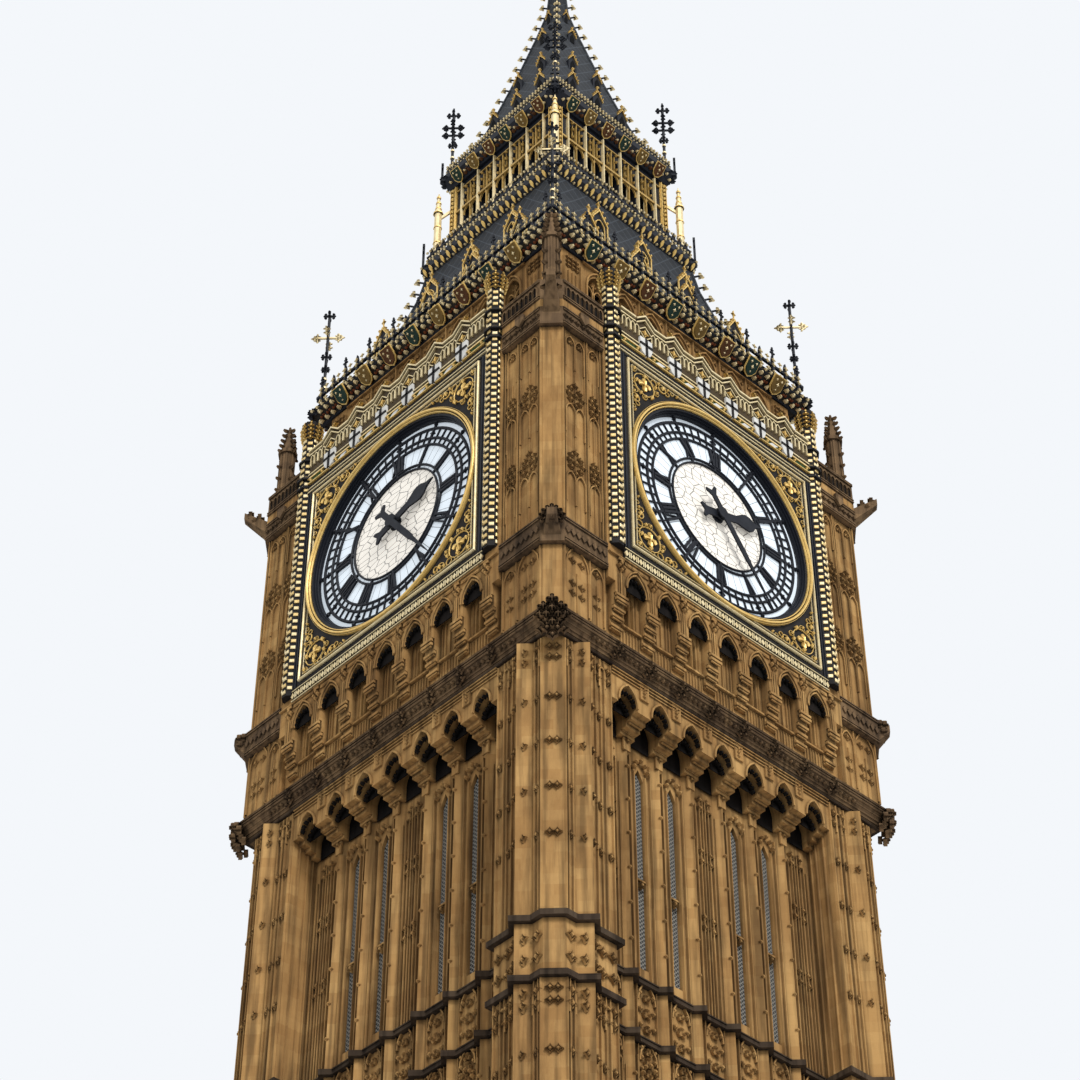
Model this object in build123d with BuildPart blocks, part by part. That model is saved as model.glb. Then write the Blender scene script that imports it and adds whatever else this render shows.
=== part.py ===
from build123d import *
import math
import os

# A Gothic clock tower as a 1:10 scale model: 100 mm here stand for 1 m of the real tower.
# Z is up from the ground, the origin is under the tower's middle, and the front faces -Y.
# A place on the front is given by s along X, n outwards from the middle, and z.

# Shaft plan
bay_pitch = 116.0
bay_count = 7
window_bays = (-2, -1, 1, 2)
recess_half = bay_pitch * bay_count / 2
pier_face = 608.0
pier_chamfer = 36.0
pier_prow = 30.0
wall_face = 524.0
wall_thickness = 110.0
mullion_prow = 20.0
wall_back = wall_face - wall_thickness
pier_prow_at = (recess_half + pier_face) / 2

# Shaft heights
plinth_height = 290.0
plinth_spread = 50.0
door_width = 120.0
door_height = 250.0
door_thickness = 10.0
door_set_back = 100.0
tier_height = 900.0
tier_count = 4
carved_band = 165.0
string_height = 16.0
string_projection = 14.0
shaft_top = 4735.0

# Shaft windows
light_width = 34.0
light_sill = 40.0
light_to_band = 90.0
top_light_head = 4540.0
glass_thickness = 4.0
glass_set_back = 10.0

# Corbel table under the main cornice
corbel_width = 50.0
corbel_head = 89.0
corbel_drop = 46.0
corbel_steps = 4
corbel_crown = 39.0

# Main cornice and the gallery that carries the clock stage
cornice_height = 65.0
cornice_projection = 30.0
gallery_base = shaft_top + cornice_height
gallery_height = 310.0
gallery_back = 96.0
gallery_face = 652.0
gallery_corbel_width = 38.0
gallery_head = 122.0
gallery_drop = 150.0
gallery_crown = 60.0
gallery_light_bays = (-3, -1, 1, 3)
gallery_light_width = 36.0
gallery_light_foot = 4890.0
gallery_light_head = 5010.0

# Clock stage
clock_base = gallery_base + gallery_height
clock_top = 5920.0
clock_bay_half = 450.0
clock_pier_face = 637.0
clock_pier_chamfer = 36.0
clock_band = 15.0
clock_band_base = 5850.0
clock_string_base = 5015.0
clock_string_height = 88.0
clock_face = 650.0
clock_wall = 60.0
dial_height = 5508.0
dial_radius = 346.0
seat_gap = 0.3
surround_width = 790.0
surround_height = 780.0
surround_thickness = 10.0
gilt_ring_width = 18.0
gilt_ring_thickness = 12.0
gilt_fillet_width = 8.0
gilt_fillet_half = 360.0

# Dial, measured outwards from the glass
glass_front = 638.0
dial_glass_thickness = 6.0
dial_frame_thickness = 6.0
dial_rim = 16.0
minute_ring = (306.0, 315.0)
hour_ring = (253.0, 261.0)
centre_ring = (188.0, 195.0)
numeral_bar = 10.0
boss_radius = 22.0

# Hands, as lengths from the dial's centre
hour_angle = 72.0
minute_angle = 144.0
hour_reach = 178.0
hour_tail = 78.0
hour_stem = 26.0
hour_blade = 58.0
hour_blade_at = 116.0
minute_reach = 316.0
minute_tail = 84.0
minute_stem = 20.0
hand_fishtail = 50.0
hour_thickness = 5.0
minute_thickness = 4.0
hand_gap = 6.0
hub_radius = 20.0
pipe_radius = 9.0
arbor_radius = 5.0
running_clearance = 0.1

# Gilt pilasters beside the dials
pilaster_at = 418.0
pilaster_radius = 22.0
pilaster_top = 6130.0
pilaster_cap = 70.0

# Belfry floor and parapets
floor_thickness = 30.0
parapet_back = 630.0
parapet_face = 662.0
parapet_half = 395.0
parapet_height = 120.0
gable_rise = 32.0
gable_count = 6
gable_pitch = 118.0
corner_parapet_height = 84.0
corner_parapet_thickness = 34.0

# Belfry
belfry_face = 525.0
belfry_thickness = 70.0
belfry_base = clock_top + floor_thickness
belfry_top = 6380.0
belfry_arch_width = 78.0
belfry_sill = 50.0
belfry_arch_head = 30.0

# Pinnacles, gargoyles and crosses
pinnacle_at = 602.0
pinnacle_radius = 22.0
pinnacle_height = 210.0
pinnacle_spirelet = 130.0
gargoyle_root = 46.0
gargoyle_tip = 24.0
gargoyle_lengths = (36.0, 75.0)
gargoyle_lift = 0.8

# Eaves and lower roof, as heights with the roof's half width there
eaves_height = 60.0
eaves_projection = 38.0
eaves_top = belfry_top + eaves_height
roof_base_half = 524.0
roof_curve = ((150.0, 458.0), (280.0, 402.0), (410.0, 358.0), (530.0, 328.0))
roof_height = 630.0
roof_top_half = 313.0
roof_shell = 12.0
cresting_height = 110.0
cresting_thickness = 8.0
cresting_inset = 10.0
cresting_post_pitch = 58.0
cresting_rail = 10.0

# Lantern
lantern_base = eaves_top + roof_height
gallery_slab = 60.0
gallery_slab_projection = 14.0
railing_height = 80.0
lantern_half = 261.0
lantern_height = 400.0
lantern_wall = 20.0
lantern_post = 30.0
lantern_bays = 5
lantern_pitch = 81.6
lantern_arch_width = 66.0
lantern_sill = 70.0
lantern_arch_head = 40.0
lantern_cornice = 67.0
lantern_cornice_projection = 29.0
lantern_pinnacle_at = 291.0
lantern_pinnacle_radius = 12.0
lantern_pinnacle_height = 275.0
lantern_pinnacle_spirelet = 110.0
brace_height = 240.0
brace_depth = 14.0

# Spire, as heights above its base with its half width there
spire_base = lantern_base + gallery_slab + lantern_height + lantern_cornice
spire_base_half = 254.0
spire_curve = ((258.0, 176.0), (373.0, 148.0), (583.0, 99.0), (803.0, 53.0), (943.0, 27.0))
spire_height = 1263.0
spire_tip_half = 10.0
spire_shell = 8.0
spire_cresting_height = 50.0

# Finial and crosses
finial_height = 740.0
finial_stem = 9.0
finial_orb = 34.0
finial_arm = 70.0
eaves_cross_at = 534.0
eaves_cross_height = 450.0
lantern_cross_at = 262.0
lantern_cross_height = 363.0
cross_stem = 5.0
cross_arm = 34.0

SIDES = ("front", "right", "back", "left")
os.makedirs("parts", exist_ok=True)


def keep(part, name):
    """Labels a finished piece and writes it under its own name."""
    part.label = name
    export_step(part, f"parts/{name}.step")


def front_plane(n):
    """The upright plane at n on the front, with s to the right and z up."""
    return Plane(origin=(0, -n, 0), x_dir=(1, 0, 0), z_dir=(0, -1, 0))


def cross_plane(s):
    """The upright plane across the front at s, with n outwards and z up."""
    return Plane(origin=(s, 0, 0), x_dir=(0, -1, 0), z_dir=(-1, 0, 0))


def four_times(piece):
    """A piece of the front and its copies on the other three sides."""
    with BuildPart() as around:
        with PolarLocations(0, 4):
            add(piece)
    return around.part


def stacked_squares(levels):
    """A solid of square plan through (height, half width) pairs, with flat slopes between them."""
    with BuildPart() as stack:
        for (low, low_half), (high, high_half) in zip(levels, levels[1:]):
            with BuildSketch(Plane.XY.offset(low)):
                Rectangle(2 * low_half, 2 * low_half)
            slope = math.degrees(math.atan2(low_half - high_half, high - low))
            extrude(amount=high - low, taper=slope)
    return stack.part


def bay_centres(count, pitch):
    """The middles of a row of bays about the middle of a side."""
    return [(i - (count - 1) / 2) * pitch for i in range(count)]


def corbel_places(count, pitch):
    """The lines between and beside a row of bays."""
    return [(i - count / 2) * pitch for i in range(count + 1)]


def pointed_arch(middle, width, foot, head):
    """A pointed arch opening as a sketch: jambs from foot, and an arch of two arcs up to head."""
    spring = head - width * 0.8
    half = width / 2
    with BuildSketch() as arch:
        with BuildLine():
            Polyline((middle - half, spring), (middle - half, foot), (middle + half, foot), (middle + half, spring))
            ThreePointArc(
                (middle + half, spring),
                (middle + half * 0.72, spring + (head - spring) * 0.6),
                (middle, head),
            )
            ThreePointArc(
                (middle, head),
                (middle - half * 0.72, spring + (head - spring) * 0.6),
                (middle - half, spring),
            )
        make_face()
    return arch.sketch


def lancet(middle, width, foot, head):
    """A slim light as a sketch, with a straight-sided pointed head."""
    spring = head - width
    with BuildSketch() as light:
        Polygon(
            (middle - width / 2, foot),
            (middle + width / 2, foot),
            (middle + width / 2, spring),
            (middle, head),
            (middle - width / 2, spring),
            align=None,
        )
    return light.sketch


def prow_corners(at, face, depth):
    """The three plan corners of a prow: a pier that comes to an edge at 45 degrees."""
    return [(at - depth, face), (at, face + depth), (at + depth, face)]


def corner_outline(inner, face, chamfer, prow_at, prow, grow=0.0):
    """Plan corners of a square corner pier, with a prow on each outer face and a chamfered edge."""
    out = face + grow
    cut = chamfer + grow * (2 - 2**0.5)
    tip = prow + grow * (2**0.5 - 1)
    row = [(inner, out)] + (prow_corners(prow_at, out, tip) if prow else []) + [(out - cut, out)]
    mirrored = [(n, s) for s, n in reversed(row)]
    return [(s, -n) for s, n in [(inner, inner)] + row + mirrored]


def shaft_plan(grow=0.0):
    """The shaft's outline with its prows, moved outwards by grow."""
    with BuildSketch() as plan:
        Rectangle(2 * (wall_face + grow), 2 * (wall_face + grow))
        with PolarLocations(0, 4):
            Polygon(
                *corner_outline(recess_half - grow, pier_face, pier_chamfer, pier_prow_at, pier_prow, grow),
                align=None,
            )
            for line in corbel_places(bay_count, bay_pitch)[1:-1]:
                tip = mullion_prow + grow * (2**0.5 - 1)
                corners = prow_corners(line, wall_face + grow, tip)
                Polygon(*[(s, -n) for s, n in corners], align=None)
    return plan.sketch


def tier_strings():
    """The heights of the string courses, in pairs with a carved band between."""
    tops = [plinth_height + tier_height * (i + 1) for i in range(tier_count)]
    return [(top - carved_band, top) for top in tops]


def light_rows():
    """Foot and head of each row of lights in the shaft."""
    feet = [plinth_height] + [top for _, top in tier_strings()]
    heads = [low - light_to_band for low, _ in tier_strings()] + [top_light_head]
    return [(foot + light_sill, head) for foot, head in zip(feet, heads)]


def gallery_lights():
    """The slits of one side of the gallery, which go through its wall and the shaft's."""
    with BuildSketch() as slits:
        for bay in gallery_light_bays:
            add(lancet(bay * bay_pitch, gallery_light_width, gallery_light_foot, gallery_light_head))
    return slits.sketch


def lights_sketch():
    """All the lights of one side of the shaft wall."""
    with BuildSketch() as lights:
        add(gallery_lights())
        for foot, head in light_rows():
            for bay in window_bays:
                add(lancet(bay * bay_pitch, light_width, foot, head))
    return lights.sketch


def arched_corbels(base, top, back, face, backing, head, crown, drop, width, half, steps):
    """A row of stepped corbels with pointed arches between them, in one mass with its backing."""
    springing = top - head
    with BuildPart() as row:
        with BuildSketch(Plane.XY.offset(base)):
            with Locations((0, -(back + backing / 2))):
                Rectangle(2 * half, backing)
        extrude(amount=top - base)
        with BuildSketch(front_plane(back + backing)):
            with Locations((0, top - head / 2)):
                Rectangle(2 * half, head)
        extrude(amount=face - back - backing)
        with BuildSketch(front_plane(back + backing)) as niches:
            for middle in bay_centres(bay_count, bay_pitch):
                opening = bay_pitch - width
                add(pointed_arch(middle, opening, springing - opening, top - crown))
        extrude(amount=face - back - backing, mode=Mode.SUBTRACT)
        for line in corbel_places(bay_count, bay_pitch):
            low = max(line - width / 2, -half)
            high = min(line + width / 2, half)
            with BuildSketch(cross_plane((low + high) / 2)):
                for step in range(steps):
                    share = (step + 1) / steps
                    reach = (face - back - backing) * share
                    foot = springing - drop * (1 - step / steps)
                    with Locations((back + backing + reach / 2, (foot + springing) / 2)):
                        Rectangle(reach, springing - foot)
            extrude(amount=(high - low) / 2, both=True)
    return row.part


# Plinth: the base course, a square ring with a weathered top
plinth_half = pier_face + plinth_spread
with BuildPart() as plinth:
    add(
        stacked_squares(
            [
                (0, plinth_half),
                (plinth_height * 0.25, plinth_half),
                (plinth_height * 0.32, plinth_half - plinth_spread * 0.4),
                (plinth_height * 0.85, plinth_half - plinth_spread * 0.4),
                (plinth_height, pier_face + pier_prow * 0.2),
            ]
        )
    )
    with BuildSketch():
        Rectangle(2 * wall_back, 2 * wall_back)
    extrude(amount=plinth_height, mode=Mode.SUBTRACT)
    with BuildSketch(front_plane(-plinth_half)):
        add(pointed_arch(0, door_width, 0, door_height))
    extrude(amount=plinth_half, mode=Mode.SUBTRACT)
keep(plinth.part, "plinth")

# Door: a closed leaf in the pointed doorway of the back
with BuildPart() as door:
    with BuildSketch(front_plane(-(wall_back + door_set_back))):
        add(pointed_arch(0, door_width, 0, door_height))
    extrude(amount=-door_thickness)
keep(door.part, "door")

# Shaft walls: one mass each from the plinth to the belfry floor, with prow mullions and slim lights
with BuildPart() as wall:
    with BuildSketch(Plane.XY.offset(plinth_height)):
        with Locations((0, -(wall_face - wall_thickness / 2))):
            Rectangle(2 * recess_half, wall_thickness)
    extrude(amount=clock_top - plinth_height)
    with BuildSketch(Plane.XY.offset(plinth_height)):
        for line in corbel_places(bay_count, bay_pitch)[1:-1]:
            Polygon(*[(s, -n) for s, n in prow_corners(line, wall_face, mullion_prow)], align=None)
    extrude(amount=shaft_top - corbel_head - corbel_drop - plinth_height)
    with BuildSketch(front_plane(wall_face)):
        add(lights_sketch())
    extrude(amount=-wall_thickness, mode=Mode.SUBTRACT)
for turn, side in enumerate(SIDES):
    keep(wall.part.rotate(Axis.Z, 90 * turn), f"{side}_wall")

with BuildPart() as panes:
    with BuildSketch(front_plane(wall_face - glass_set_back)):
        add(lights_sketch())
    extrude(amount=-glass_thickness)
keep(four_times(panes.part), "window_glass")

# Corner piers: square clasping piers with a chamfered edge and a prow on each face
with BuildPart() as corner_piers:
    with BuildSketch(Plane.XY.offset(plinth_height)):
        with PolarLocations(0, 4):
            Polygon(
                *corner_outline(recess_half, pier_face, pier_chamfer, pier_prow_at, pier_prow),
                align=None,
            )
    extrude(amount=shaft_top - plinth_height)
keep(corner_piers.part, "corner_piers")

# String courses: mouldings that break out round every prow
with BuildPart() as string_course:
    with BuildSketch():
        add(shaft_plan(string_projection))
        add(shaft_plan(), mode=Mode.SUBTRACT)
    extrude(amount=string_height)
with BuildPart() as string_courses:
    with Locations(*[(0, 0, top - string_height) for pair in tier_strings() for top in pair]):
        add(string_course.part)
keep(string_courses.part, "string_courses")

# Corbel tables: stepped corbels and pointed arches that bring the wall out to the cornice
corbel_table = arched_corbels(
    shaft_top - corbel_head,
    shaft_top,
    wall_face,
    pier_face,
    glass_thickness,
    corbel_head,
    corbel_crown,
    corbel_drop,
    corbel_width,
    recess_half,
    corbel_steps,
)
keep(four_times(corbel_table), "corbel_tables")

# Main cornice: a deep moulded ring round the head of the shaft
cornice_half = pier_face + cornice_projection
with BuildPart() as main_cornice:
    add(
        stacked_squares(
            [
                (shaft_top, pier_face + 6),
                (shaft_top + cornice_height * 0.3, pier_face + 14),
                (shaft_top + cornice_height * 0.62, cornice_half),
                (gallery_base, cornice_half),
            ]
        )
    )
    with BuildSketch(Plane.XY.offset(shaft_top)):
        Rectangle(2 * wall_face, 2 * wall_face)
    extrude(amount=cornice_height, mode=Mode.SUBTRACT)
keep(main_cornice.part, "main_cornice")

# Gallery: the stage under the dials, carried out on corbels with arches between
corbelled_gallery = arched_corbels(
    gallery_base,
    clock_base,
    wall_face,
    gallery_face,
    gallery_back,
    gallery_head,
    gallery_crown,
    gallery_drop,
    gallery_corbel_width,
    clock_bay_half,
    corbel_steps,
)
with BuildPart() as gallery:
    add(corbelled_gallery)
    with BuildSketch(front_plane(wall_face + gallery_back)):
        add(gallery_lights())
    extrude(amount=-gallery_back, mode=Mode.SUBTRACT)
keep(four_times(gallery.part), "gallery_walls")

# Clock stage: corner piers, and a wall on each side with a round opening for its dial
with BuildPart() as clock_piers:
    with BuildSketch(Plane.XY.offset(gallery_base)):
        with PolarLocations(0, 4):
            Polygon(
                *corner_outline(clock_bay_half, clock_pier_face, clock_pier_chamfer, 0, 0),
                align=None,
            )
    extrude(amount=clock_top - gallery_base)
keep(clock_piers.part, "clock_corner_piers")

with BuildPart() as clock_string:
    for base, top in (
        (clock_string_base, clock_string_base + clock_string_height),
        (clock_band_base, clock_top),
    ):
        with BuildSketch(Plane.XY.offset(base)):
            with PolarLocations(0, 4):
                Polygon(
                    *corner_outline(
                        clock_bay_half, clock_pier_face, clock_pier_chamfer, 0, 0, clock_band
                    ),
                    align=None,
                )
                Polygon(
                    *corner_outline(clock_bay_half, clock_pier_face, clock_pier_chamfer, 0, 0),
                    align=None,
                    mode=Mode.SUBTRACT,
                )
        extrude(amount=top - base)
keep(clock_string.part, "corner_strings")

with BuildPart() as clock_wall_part:
    with BuildSketch(front_plane(clock_face)):
        with Locations((0, (clock_base + clock_top) / 2)):
            Rectangle(2 * clock_bay_half, clock_top - clock_base)
        with Locations((0, dial_height)):
            Circle(dial_radius, mode=Mode.SUBTRACT)
    extrude(amount=-clock_wall)
keep(four_times(clock_wall_part.part), "clock_walls")

# Dials: a disc of opal glass behind a cast frame of rings and numeral bars
with BuildPart() as dial_glass:
    with BuildSketch(front_plane(glass_front)):
        with Locations((0, dial_height)):
            Circle(dial_radius - seat_gap)
    extrude(amount=-dial_glass_thickness)
keep(four_times(dial_glass.part), "dial_glass")

with BuildPart() as dial_frame:
    with BuildSketch(front_plane(glass_front)):
        with Locations((0, dial_height)):
            Circle(dial_radius - seat_gap)
            Circle(dial_radius - seat_gap - dial_rim, mode=Mode.SUBTRACT)
            for inner, outer in (minute_ring, hour_ring, centre_ring):
                with BuildSketch(mode=Mode.PRIVATE) as ring:
                    Circle(outer)
                    Circle(inner, mode=Mode.SUBTRACT)
                add(ring.sketch)
            bar_length = dial_radius - dial_rim - centre_ring[0]
            with PolarLocations(centre_ring[0] + bar_length / 2, 12):
                Rectangle(bar_length, numeral_bar)
            Circle(boss_radius)
            Circle(pipe_radius + running_clearance, mode=Mode.SUBTRACT)
    extrude(amount=dial_frame_thickness)
keep(four_times(dial_frame.part), "dial_frames")

with BuildPart() as surround:
    surround_middle = (clock_base + clock_top) / 2
    with BuildSketch(front_plane(clock_face)):
        with Locations((0, surround_middle)):
            Rectangle(surround_width, surround_height)
        with Locations((0, dial_height)):
            Circle(dial_radius, mode=Mode.SUBTRACT)
    extrude(amount=surround_thickness)
keep(four_times(surround.part), "dial_surrounds")

# Gilt mouldings: a ring round each dial and a square fillet that it touches
with BuildPart() as gilt_moulding:
    with BuildSketch(front_plane(clock_face + surround_thickness)):
        with Locations((0, dial_height)):
            Circle(dial_radius + gilt_ring_width)
            Circle(dial_radius, mode=Mode.SUBTRACT)
    extrude(amount=gilt_ring_thickness)
    with BuildSketch(front_plane(clock_face + surround_thickness)):
        with Locations((0, dial_height)):
            Rectangle(2 * (gilt_fillet_half + gilt_fillet_width), 2 * (gilt_fillet_half + gilt_fillet_width))
            Rectangle(2 * gilt_fillet_half, 2 * gilt_fillet_half, mode=Mode.SUBTRACT)
    extrude(amount=gilt_fillet_width)
keep(four_times(gilt_moulding.part), "gilt_rings")

# Hands: the hour hand's pipe turns in the dial's boss, and the minute hand's arbor in the pipe
frame_front = glass_front + dial_frame_thickness
hour_plane = frame_front + hand_gap
minute_plane = hour_plane + hour_thickness + hand_gap


def hand_outline(reach, tail, stem, blade, blade_at):
    """A pointed hand with a leaf on its stem and a fishtail counterweight behind the hub."""
    right_edge = [
        (hand_fishtail * 0.4, -tail),
        (hand_fishtail / 2, -tail * 0.9),
        (stem / 2, -tail * 0.68),
        (stem / 2, blade_at - blade * 0.8),
        (blade * 0.42, blade_at - blade * 0.3),
        (blade / 2, blade_at),
        (blade * 0.4, blade_at + blade * 0.3),
        (stem * 0.35, blade_at + blade * 0.55),
    ]
    left_edge = [(-s, along) for s, along in reversed(right_edge)]
    with BuildSketch() as outline:
        Polygon((0, -tail * 0.86), *right_edge, (0, reach), *left_edge, align=None)
        Circle(hub_radius)
    return outline.sketch


with BuildPart() as hour_hand:
    with BuildSketch(front_plane(hour_plane)):
        with Locations(Location((0, dial_height, 0), (0, 0, -hour_angle))):
            add(hand_outline(hour_reach, hour_tail, hour_stem, hour_blade, hour_blade_at))
    extrude(amount=hour_thickness)
    with BuildSketch(front_plane(glass_front + 1)):
        with Locations((0, dial_height)):
            Circle(pipe_radius)
    extrude(amount=hour_plane - glass_front)
    with BuildSketch(front_plane(glass_front + 1)):
        with Locations((0, dial_height)):
            Circle(arbor_radius + running_clearance)
    extrude(amount=hour_plane + hour_thickness, mode=Mode.SUBTRACT)

with BuildPart() as minute_hand:
    with BuildSketch(front_plane(minute_plane)):
        with Locations(Location((0, dial_height, 0), (0, 0, -minute_angle))):
            add(hand_outline(minute_reach, minute_tail, minute_stem, minute_stem, minute_reach / 2))
    extrude(amount=minute_thickness)
    with BuildSketch(front_plane(glass_front + 1)):
        with Locations((0, dial_height)):
            Circle(arbor_radius)
    extrude(amount=minute_plane - glass_front)

for turn, side in enumerate(SIDES):
    keep(hour_hand.part.rotate(Axis.Z, 90 * turn), f"{side}_hour_hand")
    keep(minute_hand.part.rotate(Axis.Z, 90 * turn), f"{side}_minute_hand")

# Gilt pilasters: half-octagon shafts beside the dials that rise free above the parapet
with BuildPart() as pilaster:
    with BuildSketch(Plane.XY.offset(clock_base)):
        with Locations((pilaster_at, -clock_face)):
            RegularPolygon(pilaster_radius, 8, major_radius=False, rotation=22.5)
        with Locations((pilaster_at, -clock_face / 2)):
            Rectangle(4 * pilaster_radius, clock_face, mode=Mode.SUBTRACT)
    extrude(amount=belfry_base - clock_base)
    with BuildSketch(Plane.XY.offset(belfry_base)):
        with Locations((pilaster_at, -clock_face)):
            RegularPolygon(pilaster_radius, 8, major_radius=False, rotation=22.5)
    extrude(amount=pilaster_top - belfry_base)
    with BuildSketch(Plane.XY.offset(pilaster_top)):
        with Locations((pilaster_at, -clock_face)):
            RegularPolygon(pilaster_radius, 8, major_radius=False, rotation=22.5)
    with BuildSketch(Plane.XY.offset(pilaster_top + pilaster_cap)):
        with Locations((pilaster_at, -clock_face)):
            RegularPolygon(pilaster_radius * 1.4, 8, major_radius=False, rotation=22.5)
    loft(ruled=True)
    mirror(about=Plane.YZ)
keep(four_times(pilaster.part), "gilt_pilasters")

# Belfry floor, which closes the clock stage
with BuildPart() as belfry_floor:
    with BuildSketch(Plane.XY.offset(clock_top)):
        with PolarLocations(0, 4):
            Polygon(
                *corner_outline(
                    clock_bay_half, clock_pier_face, clock_pier_chamfer, 0, 0, clock_band
                ),
                align=None,
            )
            with Locations((0, -parapet_back / 2)):
                Rectangle(2 * clock_bay_half, parapet_back)
    extrude(amount=floor_thickness)
keep(belfry_floor.part, "belfry_floor")

# Parapets: a gabled one over each dial, and a plain one round each corner
with BuildPart() as dial_parapet:
    shoulder = belfry_base + parapet_height
    crest = [(parapet_half, clock_top), (-parapet_half, clock_top), (-parapet_half, shoulder)]
    for peak in bay_centres(gable_count, gable_pitch):
        crest += [
            (peak - gable_pitch * 0.3, shoulder),
            (peak, shoulder + gable_rise),
            (peak + gable_pitch * 0.3, shoulder),
        ]
    crest += [(parapet_half, shoulder)]
    with BuildSketch(front_plane(parapet_back)):
        Polygon(*crest, align=None)
    extrude(amount=parapet_face - parapet_back)
with BuildPart() as parapets:
    with PolarLocations(0, 4):
        add(dial_parapet.part)
    with BuildSketch(Plane.XY.offset(belfry_base)):
        with PolarLocations(0, 4):
            Polygon(
                *corner_outline(
                    clock_bay_half, clock_pier_face, clock_pier_chamfer, 0, 0, clock_band
                ),
                align=None,
            )
        parapet_inner = clock_pier_face - corner_parapet_thickness
        Rectangle(2 * parapet_inner, 2 * parapet_inner, mode=Mode.SUBTRACT)
    extrude(amount=corner_parapet_height)
keep(parapets.part, "parapets")

# Corner pinnacles: octagonal posts with a crocketed spirelet
pinnacle_base = belfry_base + corner_parapet_height


def octagon_pinnacle(at, base, radius, shaft, spirelet):
    """An octagonal post with a wider cap and an eight-sided spirelet, on the corner diagonal."""
    cap = radius * 0.6
    with BuildPart() as post:
        for low, rise, low_radius, high_radius in (
            (0, shaft, radius, radius),
            (shaft, cap, radius * 1.3, radius * 1.3),
            (shaft + cap, spirelet - cap, radius, radius * 0.15),
        ):
            with BuildSketch(Plane.XY.offset(base + low)):
                with Locations((at, -at)):
                    RegularPolygon(low_radius, 8, major_radius=False, rotation=22.5)
            extrude(amount=rise, taper=math.degrees(math.atan2(low_radius - high_radius, rise)))
    return post.part


pinnacle = octagon_pinnacle(pinnacle_at, pinnacle_base, pinnacle_radius, pinnacle_height, pinnacle_spirelet)
keep(four_times(pinnacle), "pinnacles")

# Gargoyles: tapering stone beasts on the corner chamfers
corner_reach = (2 * clock_pier_face - clock_pier_chamfer) / 2**0.5 + clock_band
gargoyle_heights = (clock_string_base + clock_string_height / 2, clock_top)
with BuildPart() as gargoyle:
    for height, length in zip(gargoyle_heights, gargoyle_lengths):
        root = Plane(
            origin=(corner_reach / 2**0.5, -corner_reach / 2**0.5, height),
            x_dir=(1, 1, 0),
            z_dir=(1, -1, 0),
        )
        with BuildSketch(root):
            Rectangle(gargoyle_root, gargoyle_root)
        with BuildSketch(root.offset(length)):
            with Locations((0, length * gargoyle_lift)):
                Rectangle(gargoyle_tip, gargoyle_tip)
        loft(ruled=True)
keep(four_times(gargoyle.part), "gargoyles")

# Belfry: seven tall arches on each side between corner piers
with BuildPart() as belfry_wall:
    with BuildSketch(front_plane(belfry_face)):
        with Locations((0, (belfry_base + belfry_top) / 2)):
            Rectangle(2 * recess_half, belfry_top - belfry_base)
        for middle in bay_centres(bay_count, bay_pitch):
            add(
                pointed_arch(
                    middle,
                    belfry_arch_width,
                    belfry_base + belfry_sill,
                    belfry_top - belfry_arch_head,
                ),
                mode=Mode.SUBTRACT,
            )
    extrude(amount=-belfry_thickness)
keep(four_times(belfry_wall.part), "belfry_walls")

with BuildPart() as belfry_piers:
    with BuildSketch(Plane.XY.offset(belfry_base)):
        with PolarLocations(0, 4):
            Polygon(
                *corner_outline(recess_half, belfry_face, pier_chamfer, 0, 0),
                align=None,
            )
    extrude(amount=belfry_top - belfry_base)
keep(belfry_piers.part, "belfry_piers")

# Eaves cornice
eaves_half = belfry_face + eaves_projection
with BuildPart() as eaves_cornice:
    add(
        stacked_squares(
            [
                (belfry_top, belfry_face + 4),
                (belfry_top + eaves_height * 0.6, eaves_half),
                (eaves_top, eaves_half),
            ]
        )
    )
    with BuildSketch(Plane.XY.offset(belfry_top)):
        eaves_inner = belfry_face - belfry_thickness
        Rectangle(2 * eaves_inner, 2 * eaves_inner)
    extrude(amount=eaves_height, mode=Mode.SUBTRACT)
keep(eaves_cornice.part, "eaves_cornice")


def cresting_strip(half, base, height, pitch):
    """An iron cresting along one side: two rails with posts that rise to points."""
    posts = int(2 * half / pitch)
    with BuildPart() as strip:
        with BuildSketch(front_plane(half)):
            for rail in (cresting_rail / 2, height * 0.55):
                with Locations((0, base + rail)):
                    Rectangle(2 * (half - cresting_thickness), cresting_rail)
            for place in bay_centres(posts, pitch):
                spike = [
                    (place - cresting_rail / 2, base),
                    (place + cresting_rail / 2, base),
                    (place + cresting_rail / 2, base + height * 0.8),
                    (place, base + height),
                    (place - cresting_rail / 2, base + height * 0.8),
                ]
                Polygon(*spike, align=None)
        extrude(amount=-cresting_thickness)
    return strip.part


cresting = cresting_strip(eaves_half - cresting_inset, eaves_top, cresting_height, cresting_post_pitch)
keep(four_times(cresting), "eaves_cresting")

# Lower roof: a cast-iron shell with hollow-curved slopes
roof_levels = [(eaves_top, roof_base_half)]
roof_levels += [(eaves_top + rise, half) for rise, half in roof_curve]
roof_levels += [(lantern_base, roof_top_half)]
roof_mass = stacked_squares(roof_levels)
with BuildPart() as lower_roof:
    add(roof_mass)
    add(stacked_squares([(z, half - roof_shell) for z, half in roof_levels]), mode=Mode.SUBTRACT)
keep(lower_roof.part, "lower_roof")


def lucarne(middle, base, reach, width, height, depth):
    """A gabled roof light that stands out of a slope, with its front at reach."""
    gable = [
        (middle - width / 2, base),
        (middle + width / 2, base),
        (middle + width / 2, base + height * 0.6),
        (middle, base + height),
        (middle - width / 2, base + height * 0.6),
    ]
    with BuildPart() as light:
        with BuildSketch(front_plane(reach)):
            Polygon(*gable, align=None)
        extrude(amount=-depth)
    return light.part


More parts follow.
